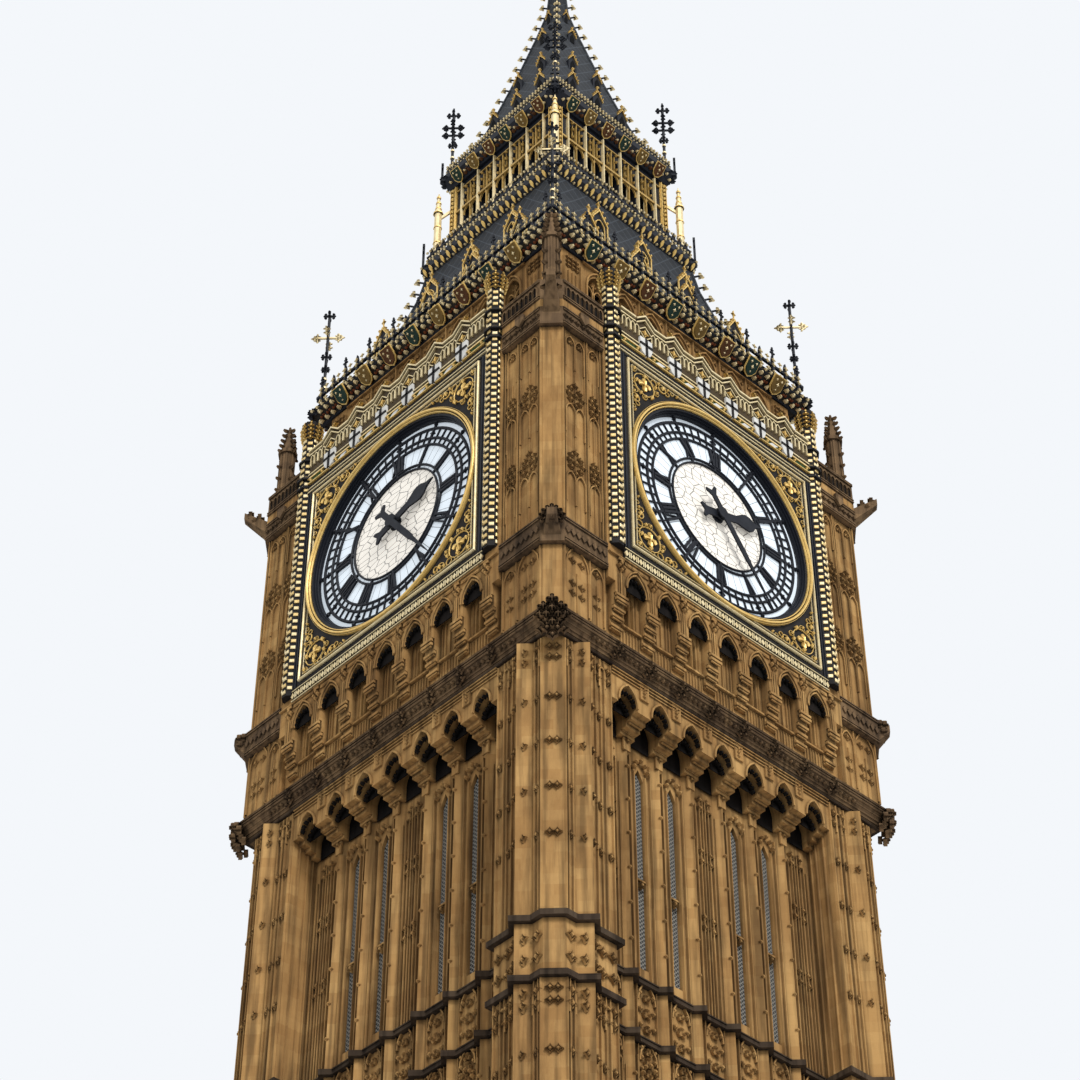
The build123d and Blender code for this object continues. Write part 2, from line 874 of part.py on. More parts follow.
def half_at(levels, height):
    """The half width of a slope at a height."""
    for (low, low_half), (high, high_half) in zip(levels, levels[1:]):
        if low <= height <= high:
            return low_half + (high_half - low_half) * (height - low) / (high - low)
    return levels[-1][1]


def lucarne_rows(levels, mass, rows):
    """Rows of lucarnes on all four slopes, each given as height, count, pitch, width and rise."""
    with BuildPart() as front_lights:
        for base, count, pitch, width, rise in rows:
            reach = half_at(levels, base) - 1
            depth = reach - half_at(levels, base + rise) + 4
            for middle in bay_centres(count, pitch):
                add(lucarne(middle, base, reach, width, rise, depth))
        add(mass, mode=Mode.SUBTRACT)
    return four_times(front_lights.part)


lower_rows = [
    (eaves_top + 110, 4, 215, 70, 160),
    (eaves_top + 315, 3, 195, 70, 150),
]
keep(lucarne_rows(roof_levels, roof_mass, lower_rows), "roof_lucarnes")

# Lantern: gallery, open arcades between corner posts, and a cornice that carries the spire
gallery_half = roof_top_half + gallery_slab_projection
gallery_top = lantern_base + gallery_slab
keep(
    stacked_squares(
        [
            (lantern_base, roof_top_half - 6),
            (lantern_base + gallery_slab * 0.5, gallery_half),
            (gallery_top, gallery_half),
        ]
    ),
    "lantern_gallery",
)
railing = cresting_strip(gallery_half - cresting_inset, gallery_top, railing_height, cresting_post_pitch / 2)
keep(four_times(railing), "lantern_railing")

lantern_top = gallery_top + lantern_height
arcade_half = lantern_half - lantern_post
with BuildPart() as lantern_arcade:
    with BuildSketch(front_plane(lantern_half - 5)):
        with Locations((0, (gallery_top + lantern_top) / 2)):
            Rectangle(2 * arcade_half, lantern_height)
        for middle in bay_centres(lantern_bays, lantern_pitch):
            add(
                pointed_arch(
                    middle,
                    lantern_arch_width,
                    gallery_top + lantern_sill,
                    lantern_top - lantern_arch_head,
                ),
                mode=Mode.SUBTRACT,
            )
    extrude(amount=-lantern_wall)
keep(four_times(lantern_arcade.part), "lantern_arcades")

with BuildPart() as lantern_posts:
    with BuildSketch(Plane.XY.offset(gallery_top)):
        with PolarLocations(0, 4):
            with Locations((lantern_half - lantern_post / 2, -(lantern_half - lantern_post / 2))):
                Rectangle(lantern_post, lantern_post)
    extrude(amount=lantern_height)
keep(lantern_posts.part, "lantern_posts")

# Lantern pinnacles with the braces that tie them to the corner posts
with BuildPart() as lantern_pinnacle:
    add(
        octagon_pinnacle(
            lantern_pinnacle_at,
            gallery_top,
            lantern_pinnacle_radius,
            lantern_pinnacle_height,
            lantern_pinnacle_spirelet,
        )
    )
    post_face = lantern_half * 2**0.5
    pin_face = lantern_pinnacle_at * 2**0.5
    diagonal = Plane(origin=(0, 0, 0), x_dir=(1, -1, 0), z_dir=(-1, -1, 0))
    with BuildSketch(diagonal):
        foot = gallery_top + brace_height
        rise = pin_face - post_face
        Polygon(
            (post_face, foot + rise),
            (pin_face, foot),
            (pin_face, foot + brace_depth),
            (post_face, foot + rise + brace_depth),
            align=None,
        )
    extrude(amount=brace_depth / 4, both=True)
keep(four_times(lantern_pinnacle.part), "lantern_pinnacles")

lantern_cornice_half = lantern_half + lantern_cornice_projection
keep(
    stacked_squares(
        [
            (lantern_top, lantern_half + 4),
            (lantern_top + lantern_cornice * 0.6, lantern_cornice_half),
            (spire_base, lantern_cornice_half),
        ]
    ),
    "lantern_cornice",
)
crest = cresting_strip(
    lantern_cornice_half - cresting_inset, spire_base, spire_cresting_height, cresting_post_pitch / 2
)
keep(four_times(crest), "spire_cresting")

# Spire: a tall iron shell with hollow-curved feet
spire_levels = [(spire_base, spire_base_half)]
spire_levels += [(spire_base + rise, half) for rise, half in spire_curve]
spire_levels += [(spire_base + spire_height, spire_tip_half)]
spire_mass = stacked_squares(spire_levels)
with BuildPart() as spire:
    add(spire_mass)
    add(
        stacked_squares([(z, half - spire_shell) for z, half in spire_levels[:-1]]),
        mode=Mode.SUBTRACT,
    )
keep(spire.part, "spire")

spire_rows = [
    (spire_base + 175, 3, 119, 44, 110),
    (spire_base + 405, 2, 120, 40, 95),
    (spire_base + 688, 1, 0, 36, 80),
    (spire_base + 841, 1, 0, 26, 70),
]
keep(lucarne_rows(spire_levels, spire_mass, spire_rows), "spire_lucarnes")

# Finial: an eight-sided stem with an orb and a bulb, and two crowns of arms
finial_base = spire_base + spire_height
finial_turning = (
    (0.0, finial_stem),
    (0.12, finial_stem),
    (0.15, finial_orb * 0.8),
    (0.175, finial_orb),
    (0.2, finial_orb * 0.8),
    (0.24, finial_stem),
    (0.5, finial_stem * 0.8),
    (0.54, finial_stem * 2.2),
    (0.58, finial_stem * 0.7),
    (1.0, finial_stem * 0.4),
)
with BuildPart() as finial:
    for (low, low_radius), (high, high_radius) in zip(finial_turning, finial_turning[1:]):
        rise = (high - low) * finial_height
        with BuildSketch(Plane.XY.offset(finial_base + low * finial_height)):
            RegularPolygon(low_radius, 8, major_radius=False, rotation=22.5)
        extrude(amount=rise, taper=math.degrees(math.atan2(low_radius - high_radius, rise)))
    for share, arm in ((0.38, 1.0), (0.8, 0.6)):
        for turn in (0, 90):
            arm_plane = Plane.XZ.rotated((0, 0, turn))
            with BuildSketch(arm_plane):
                with Locations((0, finial_base + finial_height * share)):
                    Rectangle(2 * finial_arm * arm, finial_stem)
                    with GridLocations(2 * finial_arm * arm, 0, 2, 1):
                        RegularPolygon(finial_stem, 4)
            extrude(amount=finial_stem / 2, both=True)
keep(finial.part, "finial")


def corner_cross(at, base, height):
    """A wrought cross on a stem, standing at a corner of a cornice."""
    with BuildPart() as cross:
        with BuildSketch(Plane.XY.offset(base)):
            with Locations((at, -at)):
                RegularPolygon(cross_stem, 8)
        extrude(amount=height)
        face = Plane(origin=(at, -at, 0), x_dir=(1, 1, 0), z_dir=(1, -1, 0))
        with BuildSketch(face):
            with Locations((0, base + height * 0.78)):
                Rectangle(2 * cross_arm, cross_stem * 1.4)
                with GridLocations(2 * cross_arm, 0, 2, 1):
                    RegularPolygon(cross_stem * 1.5, 4)
            with Locations((0, base + height)):
                RegularPolygon(cross_stem * 1.5, 4)
        extrude(amount=cross_stem / 2, both=True)
    return cross.part


keep(four_times(corner_cross(eaves_cross_at, eaves_top, eaves_cross_height)), "eaves_crosses")
keep(four_times(corner_cross(lantern_cross_at, spire_base, lantern_cross_height)), "lantern_crosses")
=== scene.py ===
import math

import bmesh
import bpy
from mathutils import Matrix, Vector


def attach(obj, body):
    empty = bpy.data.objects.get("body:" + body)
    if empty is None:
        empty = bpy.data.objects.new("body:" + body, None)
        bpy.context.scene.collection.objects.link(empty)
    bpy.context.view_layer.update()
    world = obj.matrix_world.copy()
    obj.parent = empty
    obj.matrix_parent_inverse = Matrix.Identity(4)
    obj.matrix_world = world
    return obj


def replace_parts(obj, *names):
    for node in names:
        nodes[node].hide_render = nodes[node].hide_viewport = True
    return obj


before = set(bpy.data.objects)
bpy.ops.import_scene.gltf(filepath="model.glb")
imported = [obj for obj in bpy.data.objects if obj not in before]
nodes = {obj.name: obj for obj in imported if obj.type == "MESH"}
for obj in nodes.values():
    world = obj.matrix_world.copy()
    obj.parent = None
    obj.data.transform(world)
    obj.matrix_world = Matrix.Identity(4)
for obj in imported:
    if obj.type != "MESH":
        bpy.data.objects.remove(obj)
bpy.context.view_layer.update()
bpy.ops.object.select_all(action="DESELECT")

# Camera: it stands on the ground in front of the near corner and looks up, as the photographer did.
camera_data = bpy.data.cameras.new("camera")
camera = bpy.data.objects.new("camera", camera_data)
bpy.context.scene.collection.objects.link(camera)
bpy.context.scene.camera = camera
bpy.context.scene.view_settings.view_transform = "Standard"
yaw, pitch, lean = math.radians(46.064), math.radians(43.556), math.radians(-0.559)
look = Vector((math.cos(pitch) * math.cos(yaw), math.cos(pitch) * math.sin(yaw), math.sin(pitch)))
level = Vector((math.sin(yaw), -math.cos(yaw), 0))
right = math.cos(lean) * level + math.sin(lean) * level.cross(look)
camera.matrix_world = Matrix((right, right.cross(look), -look)).transposed().to_4x4()
camera.location = (-4.1117, -4.3164, 0.2036)
camera_data.sensor_width = 36
camera_data.lens = 90.58
camera_data.shift_x = -0.0294
camera_data.shift_y = -0.0026
camera_data.clip_end = 100


# Studio: a pale floor, a white surround that the camera and the gloss see, and broad soft lamps.
def linear(code):
    """A linear colour from an sRGB hex code."""
    parts = [int(code[i : i + 2], 16) / 255 for i in (1, 3, 5)]
    return [c / 12.92 if c <= 0.04045 else ((c + 0.055) / 1.055) ** 2.4 for c in parts] + [1]


def add_node(tree, kind, inputs=None, **settings):
    """Adds a node with its settings; an input takes a value, a socket, or a node whose first output is meant."""
    new = tree.nodes.new("ShaderNode" + kind)
    for key, value in settings.items():
        setattr(new, key, value)
    for key, value in (inputs or {}).items():
        if isinstance(value, bpy.types.Node):
            value = value.outputs[0]
        if isinstance(value, bpy.types.NodeSocket):
            tree.links.new(value, new.inputs[key])
        else:
            new.inputs[key].default_value = value
    return new


bpy.ops.mesh.primitive_plane_add(size=60, location=(0, 0, 0))
floor = bpy.context.object
floor.name = "floor"
floor_paint = bpy.data.materials.new("floor_paint")
floor_paint.use_nodes = True
floor_paint.node_tree.nodes["Principled BSDF"].inputs["Base Color"].default_value = linear("#d9dadb")
floor_paint.node_tree.nodes["Principled BSDF"].inputs["Roughness"].default_value = 0.9
floor.data.materials.append(floor_paint)

world = bpy.data.worlds.new("studio")
bpy.context.scene.world = world
world.use_nodes = True
tree = world.node_tree
path = add_node(tree, "LightPath").outputs
mirror_or_eye = add_node(tree, "Math", {0: path["Is Camera Ray"], 1: path["Is Glossy Ray"]}, operation="MAXIMUM")
seen = add_node(tree, "Math", {0: mirror_or_eye, 1: path["Is Transmission Ray"]}, operation="MAXIMUM")
strength = add_node(tree, "MapRange", {"Value": seen, "To Min": 0.46, "To Max": 1.0})
tree.nodes["Background"].inputs["Color"].default_value = linear("#f4f7fb")
tree.links.new(strength.outputs[0], tree.nodes["Background"].inputs["Strength"])

for name, power, spread, turn in (("key_light", 2.35, 20, (50, 0, -18)), ("fill_light", 0.6, 60, (74, 0, -66))):
    lamp = bpy.data.lights.new(name, "SUN")
    lamp.energy = power
    lamp.angle = math.radians(spread)
    light = bpy.data.objects.new(name, lamp)
    light.rotation_euler = [math.radians(angle) for angle in turn]
    bpy.context.scene.collection.objects.link(light)


# Masonry: blocks of honey limestone laid in courses, sawn and rubbed, then a century of soot under every ledge;
# painted shade darkens those ledges and every recess as well.
# The blocks differ a little in colour, the joints are thin, and rain leaves pale and dark runs down the faces.
MM = 0.001
SIDES = ("front", "right", "back", "left")
BLOCK_LENGTH, COURSE, JOINT = 74, 31, 0.45


def start_finish(name, sockets):
    """A new material with its tree, its shader with these sockets set, and its object coordinates."""
    finish = bpy.data.materials.new(name)
    finish.use_nodes = True
    shader = finish.node_tree.nodes["Principled BSDF"]
    for socket, value in sockets.items():
        shader.inputs[socket].default_value = value
    return finish, finish.node_tree, shader, add_node(finish.node_tree, "TexCoord").outputs["Object"]


def stone_finish(name, pale, deep, brown, soot_and_shade, shade_and_soot_depth):
    """Coursed limestone: block colours, fine grain, rain runs, and soot with painted shade where the sky doesn't reach.
    """
    finish, tree, shader, place = start_finish(name, {"Roughness": 0.86, "Specular IOR Level": 0.08})
    parts = add_node(tree, "SeparateXYZ", {0: place})
    east = add_node(tree, "Math", {0: parts.outputs[0]}, operation="ABSOLUTE")
    north = add_node(tree, "Math", {0: parts.outputs[1]}, operation="ABSOLUTE")
    along = add_node(tree, "Math", {0: east, 1: north}, operation="SUBTRACT")
    wall = add_node(tree, "CombineXYZ", {0: along, 1: parts.outputs[2]})
    coursing = {"Vector": wall, "Scale": 1.0, "Mortar Size": JOINT * MM, "Mortar Smooth": 0.3}
    coursing |= {"Brick Width": BLOCK_LENGTH * MM, "Row Height": COURSE * MM}
    coursing |= {"Color1": (0, 0, 0, 1), "Color2": (1, 1, 1, 1), "Mortar": (0.5, 0.5, 0.5, 1)}
    blocks = add_node(tree, "TexBrick", coursing, offset=0.5, squash=0.7, squash_frequency=3)
    shade = add_node(tree, "ValToRGB", {0: blocks.outputs["Color"]})
    shade.color_ramp.elements[0].color = linear(brown)
    shade.color_ramp.elements[1].color = linear(pale)
    patch_place = add_node(tree, "Mapping", {0: place, 3: (7, 7, 2.6)})
    patches = add_node(tree, "TexNoise", {"Vector": patch_place, "Scale": 1.0, "Detail": 7.0, "Roughness": 0.65})
    spread = add_node(tree, "MapRange", {0: patches, 1: 0.4, 2: 0.66, 3: 0.0, 4: 0.8})
    patchy = add_node(tree, "Mix", {0: spread, 6: shade, 7: linear(deep)}, data_type="RGBA")
    runs_place = add_node(tree, "Mapping", {0: place, 3: (19, 19, 1.0)})
    runs = add_node(tree, "TexNoise", {"Vector": runs_place, "Scale": 3.0, "Detail": 6.0})
    running = add_node(tree, "MapRange", {0: runs, 1: 0.45, 2: 0.66, 3: 0.0, 4: 0.55})
    washed = add_node(tree, "Mix", {0: running, 6: patchy.outputs[2], 7: linear(soot_and_shade)}, data_type="RGBA")
    # Painted shade as well as soot: ambient occlusion darkens recesses and undersides towards the soot colour.
    sky = add_node(tree, "AmbientOcclusion", {"Distance": 18 * MM}, samples=4)
    shade_and_soot_mask = add_node(tree, "MapRange", {0: sky.outputs["AO"], 1: 0.25, 2: 0.86, 3: shade_and_soot_depth, 4: 0.0})
    sooted_and_shaded = add_node(tree, "Mix", {0: shade_and_soot_mask, 6: washed.outputs[2], 7: linear(soot_and_shade)}, data_type="RGBA")
    tree.links.new(sooted_and_shaded.outputs[2], shader.inputs["Base Color"])
    grain = add_node(tree, "TexNoise", {"Vector": place, "Scale": 260.0, "Detail": 3.0})
    joints = add_node(tree, "Math", {0: grain, 1: blocks.outputs["Fac"]}, operation="SUBTRACT")
    relief = add_node(tree, "Bump", {"Height": joints, "Strength": 0.35, "Distance": 0.5 * MM})
    tree.links.new(relief.outputs[0], shader.inputs["Normal"])
    return finish


limestone = stone_finish("honey_limestone", "#c39b63", "#84613a", "#b08753", "#2c2118", 0.72)
sooted_limestone = stone_finish("sooted_limestone", "#8a6f50", "#4f3f30", "#6c5640", "#14110e", 0.9)


def dress(finish, *names):
    """Gives CAD nodes their finish."""
    for name in names:
        for slot in nodes[name].material_slots:
            slot.material = finish


dress(limestone, "plinth", *[f"{side}_wall" for side in SIDES], "corner_piers", "belfry_piers")
dress(limestone, "clock_corner_piers", "clock_walls", "gallery_walls", "corbel_tables", "belfry_walls", "belfry_floor")


# Shaft tracery: thin vertical rolls cut on the faces of the walls and piers, with a pointed head to each panel.
# They are worked on the same limestone blocks as the wall, so they carry its colour and joints.
# Sizes are in mm from here on: s along the front, n outwards from the tower's middle, z up.
def shift(s=0.0, n=0.0, z=0.0):
    """A move along the front, outwards, and up."""
    return Matrix.Translation((s * MM, -n * MM, z * MM))


def turned(degrees, axis="Z"):
    """A turn about an axis through the tower's foot."""
    return Matrix.Rotation(math.radians(degrees), 4, axis)


def row(places, n=0.0, z=0.0, steps=(0,)):
    """Moves to each place along the front, a few steps aside at each if asked."""
    return [shift(s + step, n, z) for s in places for step in steps]


def open_up():
    """Goes into edit mode with the whole of the new piece selected."""
    bpy.ops.object.mode_set(mode="EDIT")
    bpy.ops.mesh.select_all(action="SELECT")


def draw(s, n, z):
    """Extrudes the selected face by a move."""
    bpy.ops.mesh.extrude_region_move(TRANSFORM_OT_translate={"value": (s * MM, -n * MM, z * MM)})


def close_up():
    """Turns the piece's faces outwards, leaves edit mode, and returns the piece."""
    bpy.ops.mesh.select_all(action="SELECT")
    bpy.ops.mesh.normals_make_consistent(inside=False)
    bpy.ops.object.mode_set(mode="OBJECT")
    return bpy.context.object


def stub(s, n, z, width, depth):
    """A flat rectangle at the foot of a bar, its back on n."""
    bpy.ops.mesh.primitive_plane_add(size=1, location=(s * MM, -(n + depth / 2) * MM, z * MM))
    piece = bpy.context.object
    piece.scale = (width * MM, depth * MM, 1)
    bpy.ops.object.transform_apply(location=True, scale=True)
    return piece


def arch(half, foot, spring, bar, depth, steps=3, reach=2.0):
    """A pointed moulding about s = 0 with its back on n = 0: one jamb drawn up, turned over, and mirrored."""
    piece = stub(-half - bar / 2, 0, foot, bar, depth)
    radius = half * reach
    open_up()
    draw(0, 0, spring - foot)
    middle = ((radius - half) * MM, 0, spring * MM)
    sweep = -math.acos((radius - half) / (radius + bar))
    bpy.ops.mesh.spin(steps=steps, angle=sweep, center=middle, axis=(0, 1, 0))
    bpy.ops.mesh.select_all(action="SELECT")
    bpy.ops.mesh.bisect(plane_co=(0, 0, 0), plane_no=(1, 0, 0), clear_outer=True)
    bpy.ops.object.mode_set(mode="OBJECT")
    piece.modifiers.new("other half", "MIRROR")
    bpy.ops.object.modifier_apply(modifier="other half")
    open_up()
    return close_up()


def roll(s, n, low, high, width, depth):
    """An upright roll with two chamfered edges, its back on n."""
    piece = stub(s, n, low, width, depth)
    for vertex in piece.data.vertices:
        if vertex.co.y < -(n + depth / 2) * MM:
            vertex.co.x = (s * MM + vertex.co.x) / 2
    open_up()
    draw(0, 0, high - low)
    return close_up()


def plate(outline, n, depth, border=0.0, sink=0.0):
    """A carved plate: an outline of (s, z) points drawn outwards from n, with a bordered front if asked."""
    bpy.ops.mesh.primitive_circle_add(vertices=len(outline), fill_type="NGON")
    for vertex, (s, z) in zip(bpy.context.object.data.vertices, outline):
        vertex.co = (s * MM, -n * MM, z * MM)
    open_up()
    draw(0, depth, 0)
    if border:
        bpy.ops.mesh.inset(thickness=border * MM)
        bpy.ops.transform.translate(value=(0, sink * MM, 0))
    return close_up()


def block(left, right, foot, top, n, depth):
    """A squared bar of stone or metal with its back on n."""
    return plate([(left, foot), (right, foot), (right, top), (left, top)], n, depth)


def repeat(piece, moves):
    """Turns a piece into copies of itself, one at each move."""
    whole = bmesh.new()
    for move in moves:
        copy = piece.data.copy()
        copy.transform(move)
        if move.determinant() < 0:
            copy.flip_normals()
        whole.from_mesh(copy)
        bpy.data.meshes.remove(copy)
    whole.to_mesh(piece.data)
    whole.free()
    return piece


def each(pieces, moves):
    """Repeats every one of some pieces at the same moves."""
    return [repeat(piece, moves) for piece in pieces]


QUARTERS = [turned(90 * turn) for turn in range(4)]
BOTH = [Matrix(), Matrix.Scale(-1, 4, (1, 0, 0))]


def gather(name, finish, pieces, at=None, turns=QUARTERS):
    """Joins pieces, repeats them where asked, copies them to the four sides, and sets the whole on the tower."""
    bpy.ops.object.select_all(action="DESELECT")
    for piece in pieces:
        piece.select_set(True)
    bpy.context.view_layer.objects.active = pieces[0]
    if len(pieces) > 1:
        bpy.ops.object.join()
    whole = bpy.context.view_layer.objects.active
    bpy.ops.object.transform_apply(location=True, rotation=True, scale=True)
    if at:
        repeat(whole, at)
    repeat(whole, turns)
    whole.name = name
    whole.data.name = name
    whole.data.materials.clear()
    whole.data.materials.append(finish)
    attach(whole, "tower")
    whole.select_set(False)
    return whole


BAY = 116
BAYS = [BAY * bay for bay in range(-3, 4)]
LIGHT_BAYS = [BAY * bay for bay in (-2, -1, 1, 2)]
BLIND_BAYS = [BAY * bay for bay in (-3, 0, 3)]
WALL, PIER = 524, 608
TIERS = ((290, 1009), (1190, 1909), (2090, 2809), (2990, 3709), (3890, 4600))
STRINGS = [top for _, top in TIERS[:-1]]
LIGHT_HEADS = [top - 74 for top in STRINGS] + [4540]
PIER_HEADS = STRINGS + [4728]

wall_rolls = []
for (foot, top), light_head in zip(TIERS, LIGHT_HEADS):
    head = top - 34
    bars = [roll(s, WALL, foot, light_head - 20, 4, 7) for s in (-20, 20)]
    bars += [roll(s, WALL, foot, head, 4, 8) for s in (-36, 36)]
    bars.append(arch(21, light_head - 24, light_head - 16, 9, 11, 4, 1.0))
    bars.append(block(-17, 17, foot + 302, foot + 307, 515, 8))
    blind = [roll(s, WALL, foot, head - abs(s), 4, 7) for s in (-42, -30, -16, -5, 5, 16, 30, 42)]
    blind.append(arch(24, head - 80, head - 44, 5, 8))
    wall_rolls += each(bars, row(LIGHT_BAYS)) + each(blind, row(BLIND_BAYS))
gather("wall_tracery", limestone, wall_rolls)

pier_rolls = []
for (foot, _), high in zip(TIERS, PIER_HEADS):
    for s, width in ((411, 6), (435, 5), (449, 4), (466, 5), (547, 5), (561, 4), (569, 6)):
        pier_rolls.append(roll(s, PIER, foot, high, width, 6))
    pier_rolls.append(repeat(arch(8, high - 90, high - 40, 4, 6, 2), row((442, 554), PIER)))
    pier_rolls += each([roll(n, 0, foot, high, 5, 5) for n in (538, 556, 584)], [shift(406) @ turned(-90)])
gather("pier_tracery", limestone, pier_rolls, at=BOTH)


# Leaf bosses: small square flowers and leaf pairs, undercut with a chisel, on the mullions, piers and cornices.
# Each is one block of limestone, four leaves about a bud; soot and painted shade darken the hollows.
def lobed_disc(radius, lobes, rim):
    """A disc that faces outwards, its rim drawn in between its lobes, left open in edit mode."""
    across = {"radius": radius * MM, "fill_type": "NGON", "rotation": (math.pi / 2, 0, 0)}
    bpy.ops.mesh.primitive_circle_add(vertices=lobes * len(rim), **across)
    bpy.ops.object.transform_apply(rotation=True)
    for index, vertex in enumerate(bpy.context.object.data.vertices):
        vertex.co *= rim[index % len(rim)]
    open_up()


def flower(radius, depth):
    """A leaf boss on n = 0: a disc whose rim is pulled out into leaves and whose middle stands up as a bud."""
    lobed_disc(radius, 4, (1.0, 0.86, 0.42, 0.86) if radius > 16 else (1.0, 0.5))
    draw(0, depth * 0.6, 0)
    if radius > 9:
        bpy.ops.mesh.inset(thickness=radius * 0.2 * MM)
        bpy.ops.transform.translate(value=(0, depth * 0.4 * MM, 0))
    draw(0, depth * 0.7, 0)
    bpy.ops.transform.resize(value=(0.5, 1, 0.5))
    return close_up()


MULLIONS = [BAY * (line - 2.5) for line in range(6)]
mullion_spots, pier_spots, knob_spots, rosette_spots, crown_spots = [], [], [], [], []
for (foot, top), high, light_head in zip(TIERS, PIER_HEADS, LIGHT_HEADS):
    for step in range(6):
        mullion_spots += row(MULLIONS, 541, foot + (step + 0.9) * 105)
    for z in [high - drop for drop in (28, 62, 190, 330, 470, 610) if high - drop > foot + 60]:
        for s, n in ((423, 608), (456, 608), (492, 622), (522, 622), (556, 608)):
            pier_spots += row((-s, s), n, z)
        pier_spots += [turned(45) @ move for move in row((-9, 9), 834, z)]
    knob_spots += row(LIGHT_BAYS, 518, foot + 288)
    for rise in (265, 296, 470, 501):
        rosette_spots += row(BLIND_BAYS, WALL, foot + rise, (-15, 15))
    for drop in (43, 70):
        rosette_spots += row(BLIND_BAYS, WALL, top - drop, (-13, 13))
    for s, rise in ((-24, -6), (-15, 12), (0, 22), (15, 12), (24, -6)):
        crown_spots += row(LIGHT_BAYS, 528, light_head + rise, (s,))
bosses = [repeat(flower(7, 6), mullion_spots), repeat(flower(13, 11), pier_spots), repeat(flower(13, 14), knob_spots)]
bosses += [repeat(flower(15, 12), rosette_spots), repeat(flower(8, 10), crown_spots)]
gather("leaf_bosses", limestone, bosses)


# Leaded lights: small panes of thick grey-green glass in zigzag lead, set in the slim openings of the shaft.
# The lead stands a little proud and catches the light, and the glass behind is nearly black.
PANE_HALF, LEAD_HALF = 6, 1.7
lead_glass, tree, shader, place = start_finish("leaded_glass", {"Roughness": 0.4, "Specular IOR Level": 0.15})
parts = add_node(tree, "SeparateXYZ", {0: place})
across = add_node(tree, "Math", {0: parts.outputs[0], 1: parts.outputs[1]}, operation="ADD")
crossing = []
for lean in (-1.0, 1.0):
    climb = add_node(tree, "Math", {0: across, 1: lean, 2: parts.outputs[2]}, operation="MULTIPLY_ADD")
    wave = add_node(tree, "Math", {0: climb, 1: PANE_HALF * MM}, operation="PINGPONG")
    crossing.append(add_node(tree, "Math", {0: wave, 1: LEAD_HALF * MM}, operation="LESS_THAN"))
leads = add_node(tree, "Math", {0: crossing[0], 1: crossing[1]}, operation="MAXIMUM")
tint = add_node(tree, "Mix", {0: leads, 6: linear("#1b2024"), 7: linear("#8f8c84")}, data_type="RGBA")
tree.links.new(tint.outputs[2], shader.inputs["Base Color"])
relief = add_node(tree, "Bump", {"Height": leads, "Strength": 0.6, "Distance": 1 * MM})
tree.links.new(relief.outputs[0], shader.inputs["Normal"])
dress(lead_glass, "window_glass")


# Carved friezes: between each pair of string courses every panel is filled with leaves and a pointed head.
# They are one course of the same limestone, deeply undercut, with soot and painted shade in the hollows.
def trefoil(size, depth):
    """A three-lobed leaf panel on n = 0: a disc pulled into lobes, with its middle sunk."""
    lobed_disc(size, 3, (1.0, 0.95, 0.5, 0.95))
    draw(0, depth, 0)
    bpy.ops.mesh.inset(thickness=size * 0.22 * MM)
    bpy.ops.transform.translate(value=(0, depth * 0.7 * MM, 0))
    return close_up()


frieze = []
for string in STRINGS:
    for low, rise, shares in ((string + 18, 146, (0.2, 0.5, 0.8)), (string - 92, 88, (0.2, 0.55, 0.86))):
        for size, share in zip((12, 15, 12), shares):
            frieze.append(repeat(trefoil(size, 9), row(BAYS, WALL, low + rise * share)))
            frieze.append(repeat(flower(8, 8), row(BAYS, WALL, low + rise * share + 9, (-22, 22))))
        frieze.append(repeat(roll(0, WALL, low, low + rise, 3, 8), row(BAYS, steps=(-33, 33))))
        frieze.append(repeat(arch(26, low + rise - 40, low + rise - 34, 4, 8), row(BAYS, WALL)))
        for s, n in ((423, 608), (456, 608), (490, 621), (524, 621), (556, 608)):
            spots = row((-s, s), n, low + rise * 0.3) + row((-s, s), n, low + rise * 0.7)
            frieze.append(repeat(flower(16, 12), spots))
gather("string_friezes", limestone, frieze)

# String course edges: a thin drip moulding over and under each string, near black, round wall and prows.
# It is the string's own limestone, cut to throw the rain clear.
drips = []
for string in STRINGS:
    for rise, depth in ((0, 1.5), (12.5, 2.5), (165, 1.5), (177.5, 2.5)):
        drips.append(repeat(block(-38, 38, string + rise, string + rise + 3.5, 538, depth), row(BAYS)))
black_stone = stone_finish("near_black_limestone", "#554739", "#2c241c", "#40342a", "#0c0a09", 0.9)
gather("string_drips", black_stone, drips)
dress(black_stone, "string_courses")

# Corbel tablets and arch mouldings: a small bordered tablet over every corbel, an arch between, and thin ledges
# below. Each corbel is four courses of limestone, and the soffits under the cornice are black.
TABLETS = [BAY * (line - 3.5) for line in range(8)]
corbels = [plate([(-15, 4680), (15, 4680), (15, 4732), (-15, 4732)], PIER, 6, 4, 3)]
corbels.append(repeat(flower(6, 6), [shift(0, PIER, z) for z in (4694, 4706, 4718)]))
for n, z in ((548, 4608), (577, 4627), (595, 4656)):
    corbels += [block(-22, 22, z, z + 4, n, 5), block(-19, 19, z + 9, z + 12, n, 4)]
    corbels.append(block(-22, 22, z - 9, z - 6, n - 3, 4))
corbels += [block(-12, 12, 4560, 4598, 540, 5), repeat(flower(10, 10), [shift(0, 542, 4590)])]
each(corbels, row(MULLIONS))
hoods = repeat(arch(31, 4640, 4644, 5, 6, 5), row(BAYS, PIER))
crown_lines = [block(-406, 406, z, z + 3, PIER, depth) for z, depth in ((4713, 4), (4722, 6), (4731, 8))]
gather("corbel_tablets", limestone, corbels + [hoods] + crown_lines)
